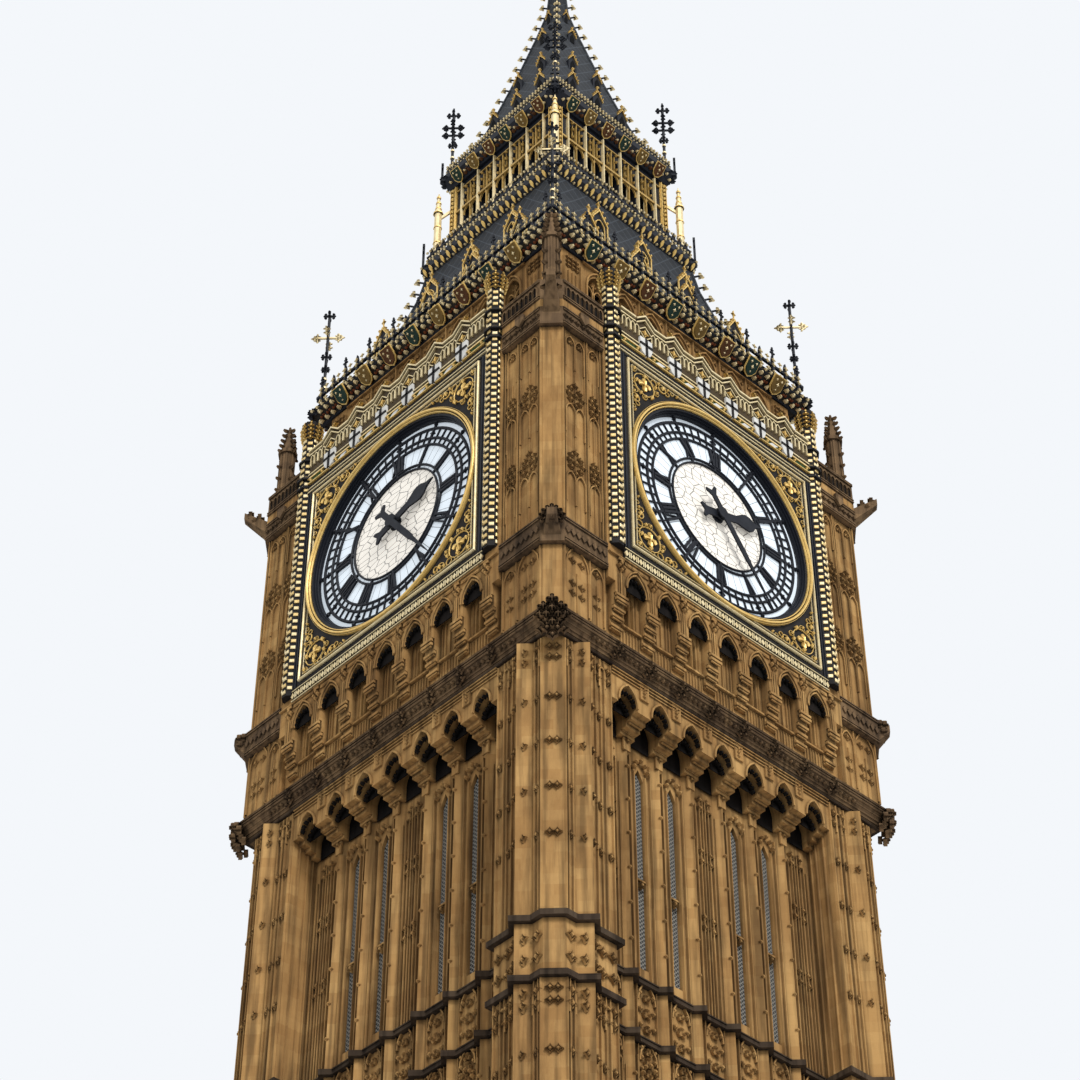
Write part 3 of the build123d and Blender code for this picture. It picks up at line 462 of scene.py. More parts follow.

# Niche hollows: near-black plates in the recesses between the corbels paint the shade there.
# A fringe of leaves runs round each head; it is undercut limestone, painted as dark as the shade behind it.
niche_shade = stone_finish("shade_black_limestone", "#221d1a", "#0f0d0c", "#181513", "#050505", 0.95)
hollows = []
for n, foot, head, half in ((570, 4636, 4695, 33), (529, 4596, 4690, 33), (640, 4990, 5049, 38)):
    right_edge = [(half, foot), (half, head - 40), (half * 0.7, head - 14)]
    left_edge = [(-s, z) for s, z in reversed(right_edge)]
    hollows.append(repeat(plate(right_edge + [(0, head)] + left_edge, n, 2), row(BAYS)))
for n, spring, half in ((598, 4652, 27), (576, 4636, 24), (644, 4998, 32)):
    for angle in [math.pi * k / 6 for k in range(7)]:
        spots = row(BAYS, n, spring + half * 0.95 * math.sin(angle), (half * math.cos(angle),))
        hollows.append(repeat(flower(8, 8), spots))
gather("niche_hollows", niche_shade, hollows)


# Main cornice carving: rolls of moulding with a band of leaves between, and a clump of leaves at each corner.
# The band is carved from the cornice's own course and is the darkest stone on the tower.
WELD = 1e-5


def corner_ring(levels, name, finish):
    """A square moulding all round: (half width, z) points of its section, swept about the tower in four turns."""
    bpy.ops.mesh.primitive_circle_add(vertices=len(levels), fill_type="NOTHING")
    for vertex, (half, z) in zip(bpy.context.object.data.vertices, levels):
        vertex.co = (half * MM, -half * MM, z * MM)
    open_up()
    bpy.ops.mesh.spin(steps=4, angle=math.tau, center=(0, 0, 0), axis=(0, 0, 1))
    bpy.ops.mesh.select_all(action="SELECT")
    bpy.ops.mesh.remove_doubles(threshold=WELD)
    gather(name, finish, [close_up()], turns=[Matrix()])


def bead(half, z, size, bury, proud):
    """The section of a roll of some half size: from bury behind its face, out to a blunt nose."""
    foot, top = z - size, z + size
    return ((half - bury, foot), (half + proud, foot), (half + size, z), (half + proud, top), (half - bury, top))


CORNICE_ROLLS = (
    (616, 4738, 3.5), (619, 4747, 3), (623, 4757, 3.5), (630, 4767, 3),
    (639, 4776, 3.5), (639, 4786, 3), (640, 4796, 4),
)
for index, line in enumerate(CORNICE_ROLLS):
    stone = sooted_limestone if index else black_stone
    corner_ring(bead(*line, 8, 1), f"cornice_roll_{index + 1}", stone)
clump_spots = []
for s, n, z in ((-10, 626, 4750), (6, 630, 4755), (-4, 634, 4768), (10, 638, 4772), (0, 640, 4784)):
    clump_spots += row(TABLETS + [620, -620], n, z, (s,))
between = row(range(-464, 465, BAY), 630, 4762, (-26, -9, 9, 26))
cornice_leaves = [repeat(flower(11, 10), clump_spots), repeat(flower(6, 7), between)]
gather("cornice_leaves", sooted_limestone, cornice_leaves)
dress(sooted_limestone, "main_cornice")

# Gallery carving: moulded arches over the deep openings, capitals, slit windows, and a lattice below each opening.
# The wall stands on the cornice; its soffits are black, and its narrow slits are leaded like the shaft's lights.
GALLERY, GALLERY_BACK = 652, 620
gallery = [repeat(arch(half, 4988, 4992, 4, depth, 5), row(BAYS, GALLERY)) for half, depth in ((39, 6), (33, 3))]
capitals = []
for n, z in ((652, 4936), (652, 4922), (640, 4900), (634, 4876), (628, 4846)):
    capitals += [block(-21, 21, z, z + 8, n, 7), block(-17, 17, z - 6, z - 2, n, 4)]
capitals += [block(-3, 3, 4944, 5040, GALLERY, 4), block(-10, 10, 5066, 5078, GALLERY, 7)]
capitals += [block(left, left + 3, 4944, 5020, GALLERY, 3) for left in (-9, 6)]
capitals.append(repeat(flower(9, 8), row((-8, 8), GALLERY, 5046) + [shift(0, GALLERY, z) for z in (5034, 5058)]))
gallery += each(capitals, row(TABLETS))
sills = [block(-43, 43, 5062, 5074, GALLERY, 4), block(-34, 34, 5065, 5071, 656, 1)]
sills.append(block(-40, 40, 4874, 4880, GALLERY_BACK, 10))
gallery += each(sills, row(BAYS))
bar_spots = row(BAYS[::2], steps=(-25, 0, 25)) + row(BAYS[1::2], steps=(-30, -18, 0, 18, 30))
gallery.append(repeat(roll(0, GALLERY_BACK, 4888, 5000, 3, 5), bar_spots))
lattice = roll(0, GALLERY_BACK, 4812, 4868, 2.5, 4)
gallery.append(repeat(lattice, row(BAYS, steps=(-34, -23, -11, 0, 11, 23, 34))))
gallery += [block(-450, 450, 4802, 4808, GALLERY_BACK, 14), block(-450, 450, 5076, 5080, GALLERY, 8)]
gather("gallery_carving", limestone, gallery)

CORNER = 637
corner_work = [roll(s, CORNER, 4802, 5012, 6, 6) for s in (455, 507, 596)]
for s, half, steps in ((481, 22, (0,)), (551, 38, (-16, 16))):
    corner_work.append(repeat(arch(half, 4810, 4960, 4, 5), [shift(s, CORNER)]))
    corner_work += [repeat(flower(13, 8), row((s,), CORNER, z, steps)) for z in (4866, 4900, 4978)]
    corner_work.append(roll(s, CORNER, 4802, 4940, 3, 4))
gather("gallery_corner_panels", limestone, corner_work, at=BOTH)


# Dial glass: flat panes of opal glass, cool white round the figures and cream in the middle behind the hands.
# The middle is leaded in small uneven panes; the ring of figures has slim glazing bars between its panes.
DIAL, GLASS = 5508, 638
MIDDLE_RADIUS, PANES_RADIUS, GLAZING_HALF = 176, 253, 1.1
# Painted light: the glass glows faintly in its own colours, though it is no lamp.
opal_glass, tree, shader, place = start_finish("opal_glass", {"Roughness": 0.3, "Emission Strength": 0.22})
parts = add_node(tree, "SeparateXYZ", {0: place})
east, north = parts.outputs[0], parts.outputs[1]
level = add_node(tree, "Math", {0: parts.outputs[2], 1: DIAL * MM}, operation="SUBTRACT")
east_square = add_node(tree, "Math", {0: east, 1: east}, operation="MULTIPLY")
square = add_node(tree, "Math", {0: north, 1: north, 2: east_square}, operation="MULTIPLY_ADD")
beyond = add_node(tree, "Math", {0: square, 1: (GLASS * MM) ** 2}, operation="SUBTRACT")
aside_square = add_node(tree, "Math", {0: beyond, 1: 0.0}, operation="MAXIMUM")
aside = add_node(tree, "Math", {0: aside_square}, operation="SQRT")
radius_square = add_node(tree, "Math", {0: level, 1: level, 2: aside_square}, operation="MULTIPLY_ADD")
radius = add_node(tree, "Math", {0: radius_square}, operation="SQRT")
along = add_node(tree, "Math", {0: east, 1: north}, operation="ADD")
net_across = add_node(tree, "Math", {0: along, 1: 25.0}, operation="MULTIPLY")
net_up = add_node(tree, "Math", {0: level, 1: 46.0}, operation="MULTIPLY")
net_place = add_node(tree, "CombineXYZ", {0: net_across, 1: net_up})
net = {"Vector": net_place, "Scale": 1.0, "Randomness": 0.8}
panes = add_node(tree, "TexVoronoi", net, voronoi_dimensions="2D", feature="DISTANCE_TO_EDGE")
leading = add_node(tree, "Math", {0: panes.outputs["Distance"], 1: 0.05}, operation="LESS_THAN")
inside = add_node(tree, "Math", {0: radius, 1: MIDDLE_RADIUS * MM}, operation="LESS_THAN")
bearing = add_node(tree, "Math", {0: aside, 1: level}, operation="ARCTAN2")
off_bar = add_node(tree, "Math", {0: bearing, 1: math.radians(3.75)}, operation="PINGPONG")
from_bar = add_node(tree, "Math", {0: off_bar, 1: radius}, operation="MULTIPLY")
bars = add_node(tree, "Math", {0: from_bar, 1: GLAZING_HALF * MM}, operation="LESS_THAN")
barred = add_node(tree, "Math", {0: radius, 1: PANES_RADIUS * MM}, operation="LESS_THAN")
glazing = add_node(tree, "Math", {0: bars, 1: barred}, operation="MULTIPLY")
pane = add_node(tree, "Mix", {0: inside, 6: linear("#e4eef6"), 7: linear("#f3ece0")}, data_type="RGBA")
lines = add_node(tree, "Mix", {0: inside, 2: glazing, 3: leading}, data_type="FLOAT")
faint = add_node(tree, "Math", {0: lines, 1: 0.75}, operation="MULTIPLY")
leaded = add_node(tree, "Mix", {0: faint, 6: pane.outputs[2], 7: linear("#4b4a48")}, data_type="RGBA")
tree.links.new(leaded.outputs[2], shader.inputs["Base Color"])
tree.links.new(leaded.outputs[2], shader.inputs["Emission Color"])
dress(opal_glass, "dial_glass")


# Dial frames: one iron casting to a dial, painted near black: rings, sixty minute bars, hour bars and figures.
# It stands 6 mm in front of the glass; the figures are cast on it with square edges and small feet.
def painted(name, code, roughness):
    """Paint on metal: one colour, a little uneven, and duller where it has worn."""
    finish, tree, shader, place = start_finish(name, {"Specular IOR Level": 0.15})
    worn = add_node(tree, "TexNoise", {"Vector": place, "Scale": 34.0, "Detail": 5.0})
    deep = [c * 0.55 for c in linear(code)[:3]] + [1]
    coat = add_node(tree, "Mix", {0: worn, 6: linear(code), 7: deep}, data_type="RGBA")
    tree.links.new(coat.outputs[2], shader.inputs["Base Color"])
    gloss = add_node(tree, "MapRange", {0: worn, 3: roughness - 0.1, 4: roughness + 0.2})
    tree.links.new(gloss.outputs[0], shader.inputs["Roughness"])
    return finish


black_iron = painted("black_painted_iron", "#1b1e26", 0.45)


def hoop(inner, outer, n, depth, steps=96, start=0.0, edge=0.25):
    """A moulding round the dial's middle: its section drawn once and spun right round (four steps make a square)."""
    lip = (outer - inner) * edge
    inner_side, outer_side = [(inner, 0), (inner, depth * 0.55)], [(outer, depth * 0.55), (outer, 0)]
    section = inner_side + [(inner + lip, depth), (outer - lip, depth)] + outer_side
    bpy.ops.mesh.primitive_circle_add(vertices=len(section), fill_type="NOTHING")
    for vertex, (r, d) in zip(bpy.context.object.data.vertices, section):
        vertex.co = (r * MM * math.sin(start), -(n + d) * MM, (DIAL + r * math.cos(start)) * MM)
    open_up()
    bpy.ops.mesh.spin(steps=steps, angle=math.tau, center=(0, 0, DIAL * MM), axis=(0, 1, 0))
    bpy.ops.mesh.select_all(action="SELECT")
    bpy.ops.mesh.remove_doubles(threshold=WELD)
    return close_up()


def clockwise(parts):
    """Turns about the dial's middle, one for each of some equal parts of the circle."""
    return [shift(0, 0, DIAL) @ turned(360 * part / parts, "Y") @ shift(0, 0, -DIAL) for part in range(parts)]


def dial_bar(width, low, high, depth):
    """An upright bar of the dial at twelve o'clock, low and high from its middle."""
    return block(-width / 2, width / 2, DIAL + low, DIAL + high, GLASS, depth)


FRAME_RINGS = ((175, 181), (188, 195), (253, 261), (274, 282), (306, 315), (329, 345.6))
frame_parts = [
    *[hoop(*ring, GLASS, 6) for ring in FRAME_RINGS],
    *each([dial_bar(4, 280, 308, 5), dial_bar(3.4, 260, 275, 4.6)], clockwise(60)),
    repeat(dial_bar(7, 180, 331, 5.4), clockwise(12)),
]
for reach, size in ((294, 13), (322, 8)):
    frame_parts.append(repeat(flower(size, 7), [turn @ shift(0, GLASS, DIAL + reach) for turn in clockwise(12)]))
frame_parts.append(hoop(9.2, 22, GLASS, 6, 32))
STROKES = {
    "I": (
        12,
        [(-3.8, 0), (3.8, 0), (3.8, 58), (-3.8, 58)],
        [(-5.6, 0), (5.6, 0), (4, 5), (-4, 5)],
        [(-4, 53), (4, 53), (5.6, 58), (-5.6, 58)],
        [(-5.4, 27), (0, 23), (5.4, 27), (0, 31)],
    ),
    "V": (25, [(-11.5, 58), (-3.5, 58), (3, 0), (-2, 0)], [(7.5, 58), (11.5, 58), (3, 0), (0.5, 0)]),
    "X": (25, [(-11.5, 58), (-3.5, 58), (11.5, 0), (3.5, 0)], [(7.5, 58), (11.5, 58), (-7.5, 0), (-11.5, 0)]),
}
FIGURES = ("XII", "I", "II", "III", "IV", "V", "VI", "VII", "VIII", "IX", "X", "XI")
FIGURE_FOOT = DIAL + 195  # the figures stand on the ring outside the cream middle
for turn, figure in zip(clockwise(12), FIGURES):
    start = -sum(STROKES[sign][0] for sign in figure) / 2
    for sign in figure:
        width, *strokes = STROKES[sign]
        for order, corners in enumerate(strokes):
            outline = [(start + width / 2 + s, FIGURE_FOOT + z) for s, z in corners]
            frame_parts.append(repeat(plate(outline, GLASS, 7 - 0.4 * order), [turn]))
        start += width
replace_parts(gather("cast_dial_frames", black_iron, frame_parts), "dial_frames")
for side in SIDES:
    dress(black_iron, f"{side}_hour_hand", f"{side}_minute_hand")

# Dial surrounds: dark cast plates with a hollow black moulding down to the glass.
# Gilt mouldings stand on them: a ring of three members, and two squares that the ring touches.
SURROUND = 660
surround_iron = painted("dark_surround_iron", "#221f1e", 0.6)
dress(surround_iron, "dial_surrounds")
reveal = [hoop(330 + 4 * step, 345.8, 644 + 6 * step, 6, 96, 0, 0.05) for step in range(3)]
gather("dial_reveals", black_iron, reveal)


def gilded(name, pale, deep, roughness):
    """Gold leaf, a little uneven, with painted shade darkening it to brown-black in the recesses so the proud edges
    stay bright.
    """
    finish, tree, shader, place = start_finish(name, {"Metallic": 0.4, "Roughness": roughness})
    worn = add_node(tree, "TexNoise", {"Vector": place, "Scale": 60.0, "Detail": 4.0})
    leaf = add_node(tree, "Mix", {0: worn, 6: linear(pale), 7: linear(deep)}, data_type="RGBA")
    # Painted shade: ambient occlusion darkens the gold towards brown-black in its recesses.
    sky = add_node(tree, "AmbientOcclusion", {"Distance": 12 * MM}, samples=4)
    recess_shade = add_node(tree, "MapRange", {0: sky.outputs["AO"], 1: 0.25, 2: 0.85, 3: 0.85, 4: 0.0})
    recess_shaded = add_node(tree, "Mix", {0: recess_shade, 6: leaf.outputs[2], 7: linear("#1d130a")}, data_type="RGBA")
    tree.links.new(recess_shaded.outputs[2], shader.inputs["Base Color"])
    return finish


gold_leaf = gilded("gold_leaf", "#ffdf8e", "#d6a548", 0.42)
pale_gold = gilded("pale_gold_leaf", "#fbedc4", "#cdb070", 0.5)
rings = [hoop(346, 350.5, SURROUND, 8), hoop(352.5, 361, SURROUND, 12), hoop(362, 364, SURROUND, 9)]
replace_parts(gather("gilt_dial_mouldings", gold_leaf, rings), "gilt_rings")
ROOT_TWO = 2**0.5
squares = []
for inner, outer, depth in ((362, 368, 8), (349, 351.5, 5)):
    squares.append(hoop(inner * ROOT_TWO, outer * ROOT_TWO, SURROUND, depth, 4, math.pi / 4))
gather("pale_dial_squares", pale_gold, squares)

# Spandrel tracery: gilt circles and leaf scrolls cast in relief in the four corners of each surround.
# A large roundel holds a flower, and smaller circles run down to the points between ring and square.
CIRCLES = (
    (301, 301, 42), (228, 337, 16), (188, 345, 7), (262, 338, 12),
    (342, 342, 11), (345, 292, 8), (253, 300, 10), (208, 330, 9),
)
BLOSSOMS = (
    (301, 301, 26), (228, 337, 9), (342, 342, 8), (258, 318, 7), (170, 344, 5),
    (334, 300, 8), (246, 345, 6), (208, 344, 5), (253, 300, 6),
)
scrolls = []
for s, z, size in CIRCLES:
    ring = hoop(size - (3 if size > 12 else 2), size, SURROUND, 4, 16)
    scrolls.append(repeat(ring, [shift(*spot) for spot in sorted({(s, 0, z), (z, 0, s)})]))
for s, z, size in BLOSSOMS:
    spots = sorted({(s, SURROUND + 1, DIAL + z), (z, SURROUND + 1, DIAL + s)})
    scrolls.append(repeat(flower(size, 7), [shift(*spot) for spot in spots]))
scrolls.append(repeat(flower(9, 7), [shift(268, SURROUND + 1, DIAL + 274)]))
gather("gilt_spandrels", gold_leaf, scrolls, at=clockwise(4))

# Ornament band: under each dial a dark strip with gilt lozenges and upright bars, between two thin gilt lines.
# It is cast with the surround and lies over the top of the gallery.
BAND, PITCH, SURROUND_HALF = 659, 26, 395
gather("band_grounds", surround_iron, [block(-SURROUND_HALF, SURROUND_HALF, 5080, 5124, 651, 8)])
LOZENGES = [PITCH * k for k in range(-15, 16)]
band = [
    repeat(plate([(0, 5090), (7, 5101), (0, 5112), (-7, 5101)], BAND, 4), row(LOZENGES)),
    repeat(block(-2, 2, 5091, 5111, BAND, 4), row(LOZENGES[:-1], steps=(10, 16))),
    *[block(-SURROUND_HALF, SURROUND_HALF, z, z + 2.5, BAND, 4) for z in (5082, 5117.5)],
]
gather("gilt_bands", pale_gold, band)

# Pilasters: cast shafts beside the dials, black with gilt and cream studs in a chequer up every face.
# Each ends in a gilt crown of leaves above the parapet.
dress(surround_iron, "gilt_pilasters")
worn_gold = gilded("worn_gold_leaf", "#f6dc9c", "#c09a52", 0.45)
PILASTER, STUD_PITCH, STUD_FOOT = (418, 650), 12.5, 5118


def on_pilaster(face, reach, z=0.0):
    """A place on one of a pilaster's eight faces, out from its middle."""
    return shift(*PILASTER, z) @ turned(45 * face) @ shift(0, reach)


for kind, finish in (("gold", worn_gold), ("cream", pale_gold)):
    stud = plate([(-7, 0), (7, 0), (7, 11.5), (-7, 11.5)], 0, 3, 2, -1)
    cells = [(face, tier) for face in range(-2, 3) for tier in range(81) if (tier + face) % 2 == 0]
    cells = [(face, tier) for face, tier in cells if (tier // 2 % 2 == 1) == (kind == "gold")]
    spots = [on_pilaster(face, 22, STUD_FOOT + STUD_PITCH * tier) for face, tier in cells]
    gather(f"{kind}_pilaster_studs", finish, [repeat(stud, spots)], at=BOTH)

# Pilaster crowns: a collar of gilt leaves round each pilaster at the parapet, and a gilt crown over its top.
# They are cast in iron and gilt; dark rings part them from the studs.
CROWN_TIERS = ((6136, 23), (6150, 26), (6166, 28), (6182, 29), (6196, 25))
crown = repeat(flower(10, 9), [on_pilaster(face, reach, z) for z, reach in CROWN_TIERS for face in range(8)])
crown_tip = repeat(flower(9, 12), [shift(*PILASTER, z) @ turned(-90, "X") for z in (6202, 6212)])
gather("pilaster_crowns", gold_leaf, [crown, crown_tip], at=BOTH)
collars = []
for z, depth in ((5916, 8), (5952, 10), (6030, 9)):
    collars.append(repeat(block(-11, 11, z, z + 7, 22, depth), [on_pilaster(face, 0) for face in range(-2, 3)]))
gather("pilaster_collars", surround_iron, collars, at=BOTH)

# Dial parapets: a dark front with six gables, each over a white shield with a dark cross and a gilt lozenge.
# The ground is bronze-brown iron; the mouldings on it are cream, and a green and gold diaper runs at the foot.
FRONT, FRONT_HALF, INSIDE_PIERS, GABLE = 664, 394, 388, 118
PEAKS = [GABLE * (k - 2.5) for k in range(6)]
GAPS = [GABLE * k for k in range(-3, 4)]
crest = [(FRONT_HALF, 5922), (-FRONT_HALF, 5922), (-FRONT_HALF, 6064)]
for peak in PEAKS:
    crest += [(peak - 35, 6064), (peak, 6096), (peak + 35, 6064)]
crest.append((FRONT_HALF, 6064))
bronze_paint = painted("bronze_brown_paint", "#4c3d26", 0.5)
gather("parapet_grounds", bronze_paint, [plate(crest, FRONT - 2, 2)])

creams = []
for foot, depth, width in ((6062, 10, 6), (6047, 7, 5)):
    for side in (-1, 1):
        slope = [(side * 36, foot), (side * 36, foot + width), (0, foot + width + 32), (0, foot + 32)]
        creams.append(repeat(plate(slope, FRONT, depth), row(PEAKS)))
    creams.append(repeat(block(-23, 23, foot, foot + width, FRONT, depth), row(GAPS[1:-1])))
    creams.append(repeat(block(-30, 30, foot, foot + width, FRONT, depth), row((-365, 365))))
edge = repeat(plate([(0, 29), (29, 0), (25, 0), (0, 25)], FRONT, 6), [turned(90 * turn, "Y") for turn in range(4)])
creams.append(repeat(edge, row(PEAKS, z=6026)))
inner_gaps = [gap + step for gap in GAPS for step in (-26, -9, 9, 26) if abs(gap + step) < INSIDE_PIERS]
creams.append(repeat(arch(6, 6000, 6030, 3, 6, 2), row(inner_gaps, FRONT)))
creams += [block(-FRONT_HALF, FRONT_HALF, *line) for line in ((5964, 5968, FRONT, 5), (5952, 5955, FRONT, 4))]
gather("parapet_mouldings", pale_gold, creams)

shield_white = painted("white_shield_paint", "#f3f1ea", 0.5)
shield = plate([(-24, 5998), (24, 5998), (24, 5958), (17, 5938), (0, 5925), (-17, 5938), (-24, 5958)], FRONT, 8)
gather("dial_shields", shield_white, [shield], at=row(PEAKS))
crosses = [block(-4.5, 4.5, 5926, 5998.5, 670, 4), block(-24.5, 24.5, 5966, 5975, 670, 4)]
gather("shield_crosses", surround_iron, crosses, at=row(PEAKS))
blossoms = [repeat(flower(16, 8), row(PEAKS, FRONT, 6026))]
foot_spots = [gap + step for gap in GAPS for step in (-26, 26) if abs(gap + step) < INSIDE_PIERS]
blossoms.append(repeat(flower(7, 6), row(foot_spots, FRONT, 5938)))
blossoms.append(repeat(flower(10, 12), row(PEAKS, 656, 6108) + row(PEAKS, 652, 6120)))
blossoms += [block(-FRONT_HALF, FRONT_HALF, z, z + 3, FRONT, 6) for z in (5926, 5946)]
gather("parapet_blossoms", gold_leaf, blossoms)
green_diaper = painted("green_diaper_paint", "#3f5a38", 0.6)
strips = [repeat(block(-33, 33, 5929, 5946, FRONT, 2), row(GAPS[1:-1]))]
strips.append(repeat(block(-34, 34, 5929, 5946, FRONT, 2), row((-358, 358))))
gather("diaper_strips", green_diaper, strips)
slant = plate([(-22, 5930), (4, 5930), (22, 5945), (-4, 5945)], FRONT, 4)
gather("diaper_slants", shield_white, [slant], at=row(GAPS[1:-1]))

# Surround mouldings: thin dark lines of moulding between each dial's surround and the parapet over it.
# They are iron, and break the rain clear of the glass.
ends = (-SURROUND_HALF, SURROUND_HALF)
margins = [block(*ends, z, z + h, 650, depth) for z, h, depth in ((5884, 5, 12), (5898, 6, 13), (5912, 8, 14))]
gather("surround_mouldings", black_iron, margins)
gather("surround_lines", pale_gold, [block(*ends, z, z + 3, 650, 16) for z in (5892, 5906)])
sides = repeat(block(-3, 3, 5124, 5884, 650, 13), row((-392, -382, 382, 392)))
gather("surround_sides", black_iron, [sides])

# Clock corners: piers of limestone with slim rolls, pointed heads, and clusters of leaves half way up each panel.
# The panels are twin, and near the top each has a pair of pointed trefoil heads.
PANEL_FOOT, PANEL_TOP = 5106, 5848
corner_work = [roll(s, CORNER, PANEL_FOOT, PANEL_TOP, 6, 7) for s in (456, 507, 597)]
corner_work += [roll(s, CORNER, PANEL_FOOT, PANEL_TOP, 3, 5) for s in (465, 515, 589)]
for foot, spring in ((5700, 5800), (5440, 5530), (5180, 5270)):
    for s, half in ((482, 17), (534, 15), (570, 15)):
        corner_work.append(repeat(arch(half, foot, spring, 3.5, 6, 3), [shift(s, CORNER)]))
corner_work += [repeat(trefoil(10, 5), row((482, 534, 570), CORNER, z)) for z in (5808, 5822)]
corner_work += [roll(s, CORNER, PANEL_FOOT, 5700, 3, 4) for s in (482, 552)]
cluster = []
for s, wide in ((482, 9), (552, 17)):
    pair, trio = (-wide, wide), (-wide - 8, 0, wide + 8)
    for steps, rise in (((0,), 40), (pair, 22), (trio, 0), (pair, -22), ((0,), -40)):
        on_pier = [step for step in steps if 462 < s + step < 598]
        cluster += row((s,), CORNER, 5600 + rise, on_pier) + row((s,), CORNER, 5340 + rise, on_pier)
corner_work.append(repeat(flower(12, 10), cluster))
gather("clock_corner_tracery", limestone, corner_work, at=BOTH)

# Corner strings and parapets: two bands of sooted stone with small arches, a shield, and beads between thin rolls.
# The lower string carries a run of carved lozenges; the upper one has square flowers.
STRING_FACE = 652
lines = [(z, 4) for z in (5017, 5025, 5089, 5097, 5852, 5860, 5906, 5914)] + [(z, 5) for z in (5953, 5962, 6022, 6028)]
string_work = [block(452, 606, z, z + 4, STRING_FACE, depth) for z, depth in lines]
diamond = plate([(-8, 5059), (0, 5046), (8, 5059), (0, 5072)], STRING_FACE, 5)
string_work.append(repeat(diamond, row(range(464, 604, 19))))
string_work.append(repeat(flower(10, 7), row(range(466, 604, 22), STRING_FACE, 5884)))
string_work.append(repeat(arch(6.5, 5966, 5996, 4, 5, 3), row(range(462, 604, 18), STRING_FACE)))
arms = plate([(-16, 5932), (16, 5932), (16, 5908), (0, 5888), (-16, 5908)], 654, 9)
string_work.append(repeat(arms, [shift(530)]))
gather("corner_string_carving", sooted_limestone, string_work, at=BOTH)
dress(sooted_limestone, "corner_strings", "parapets", "pinnacles")
# Near-black plates in the small arches of the corner parapets paint the shade in their recesses.
pockets = repeat(block(-5, 5, 5966, 5999, STRING_FACE, 1.5), row(range(462, 604, 18)))
gather("corner_parapet_pockets", niche_shade, [pockets], at=BOTH)


# Belfry tracery: each tall arch has a moulded head, a slim mullion with two small pointed lights, and rolls beside.
# It is limestone like the wall, cut thin, and the chamber behind is dark.
BELFRY, LIGHTS = 525, 507
belfry = [
    repeat(arch(40, 6002, 6288, 5, 6, 4), row(BAYS, BELFRY)),
    repeat(arch(34, 6002, 6288, 4, 4, 4), row(BAYS, BELFRY - 4)),
    repeat(roll(0, 505, 6000, 6318, 6, 8), row(BAYS)),
    repeat(arch(16, 6240, 6276, 4, 6, 3), row(BAYS, LIGHTS, steps=(-20, 20))),
    repeat(trefoil(12, 6), row(BAYS, LIGHTS, 6322)),
    repeat(roll(0, BELFRY, 5960, 6366, 6, 8), row(MULLIONS)),
    repeat(trefoil(11, 5), row(MULLIONS, BELFRY, 6345, (-20, 20))),
    *[block(-406, 406, z, z + h, BELFRY, depth) for z, h, depth in ((6366, 5, 10), (6374, 4, 6), (5968, 5, 9))],
]
pier_work = [
    *[roll(s, BELFRY, 5956, 6340, 6, 7) for s in (414, 482)],
    *[roll(s, BELFRY, 6040, 6290, 4, 5) for s in (432, 448, 464)],
    *[repeat(flower(10, 7), row((430, 448, 466), BELFRY, z)) for z in (6312, 6330, 6348)],
]
gather("belfry_tracery", limestone, belfry + each(pier_work, BOTH))
# The louvre boards and the flat screen behind them are near black: painted shade of the dark chamber.
shade_black = painted("shade_black_paint", "#07080a", 0.9)
boards = repeat(block(-39, 39, 0, 3, 478, 22), [move for k in range(15) for move in row(BAYS, z=6010 + 21 * k)])
screen = repeat(block(-39, 39, 6000, 6330, 470, 3), row(BAYS))
gather("belfry_louvres", shade_black, [boards, screen])

# Eaves cornice: dark bronze ironwork carved with two rows of gilt balls and leaves, over black mouldings.
# Eight painted shields hang on its slope along each side, and six on the lantern's cornice.
eaves_iron = painted("dark_bronze_iron", "#2a241d", 0.6)
dress(eaves_iron, "eaves_cornice")
for index, line in enumerate(((531, 6382, 4), (546, 6398, 3), (562, 6419, 5), (563, 6435, 5))):
    corner_ring(bead(*line, 6, 0), f"eaves_roll_{index + 1}", black_iron)
BEADS = range(-522, 523, 29)
balls = repeat(flower(9, 10), row(BEADS, 537, 6386) + row(BEADS, 556, 6408, (14,)))
gather("eaves_balls", pale_gold, [balls, repeat(flower(8, 8), row(range(-540, 541, 24), 563, 6427))])
russet = painted("russet_leaf_paint", "#7c4428", 0.5)
sprays = repeat(flower(6, 6), row(BEADS, 546, 6394, (9,)) + row(BEADS, 546, 6397, (20,)))
gather("eaves_leaves", russet, [sprays])

SLOPE = turned(42, "X")


def hung(outline, depth, n, z, scale, places):
    """Plates hung on a cornice, their tops leaning out along its slope."""
    piece = plate([(s * scale, h * scale) for s, h in outline], 0, depth)
    return repeat(piece, [move @ SLOPE for move in row(places, n, z)])


HERALD = [(-22, 62), (22, 62), (22, 22), (14, 8), (0, 0), (-14, 8), (-22, 22)]
RIMS = [(-26, 66), (26, 66), (26, 20), (16, 4), (0, -5), (-16, 4), (-26, 20)]
LANTERN_BAY = 81.6
EAVES_SPOTS = [57 + 114 * k for k in range(-4, 4)]
LANTERN_LINES = [LANTERN_BAY * (k - 2.5) for k in range(6)]
EAVES_HANG, LANTERN_HANG = (542, 6376, 0.92), (266, 7530, 0.78)
SHIELD_COLOURS = {"green": "#22392f", "ochre": "#7d6230", "russet": "#5d3a1e"}
shield_paints = {name: painted(f"{name}_shield_paint", code, 0.5) for name, code in SHIELD_COLOURS.items()}
for first, (name, paint) in enumerate(shield_paints.items()):
    fields = [hung(HERALD, 9, *EAVES_HANG, EAVES_SPOTS[first::3])]
    fields.append(hung(HERALD, 7, *LANTERN_HANG, LANTERN_LINES[first::3]))
    gather(f"{name}_shields", paint, fields)
rims = [hung(RIMS, 5, *EAVES_HANG, EAVES_SPOTS), hung(RIMS, 4, *LANTERN_HANG, LANTERN_LINES)]
gather("shield_rims", gold_leaf, rims)
charges = []
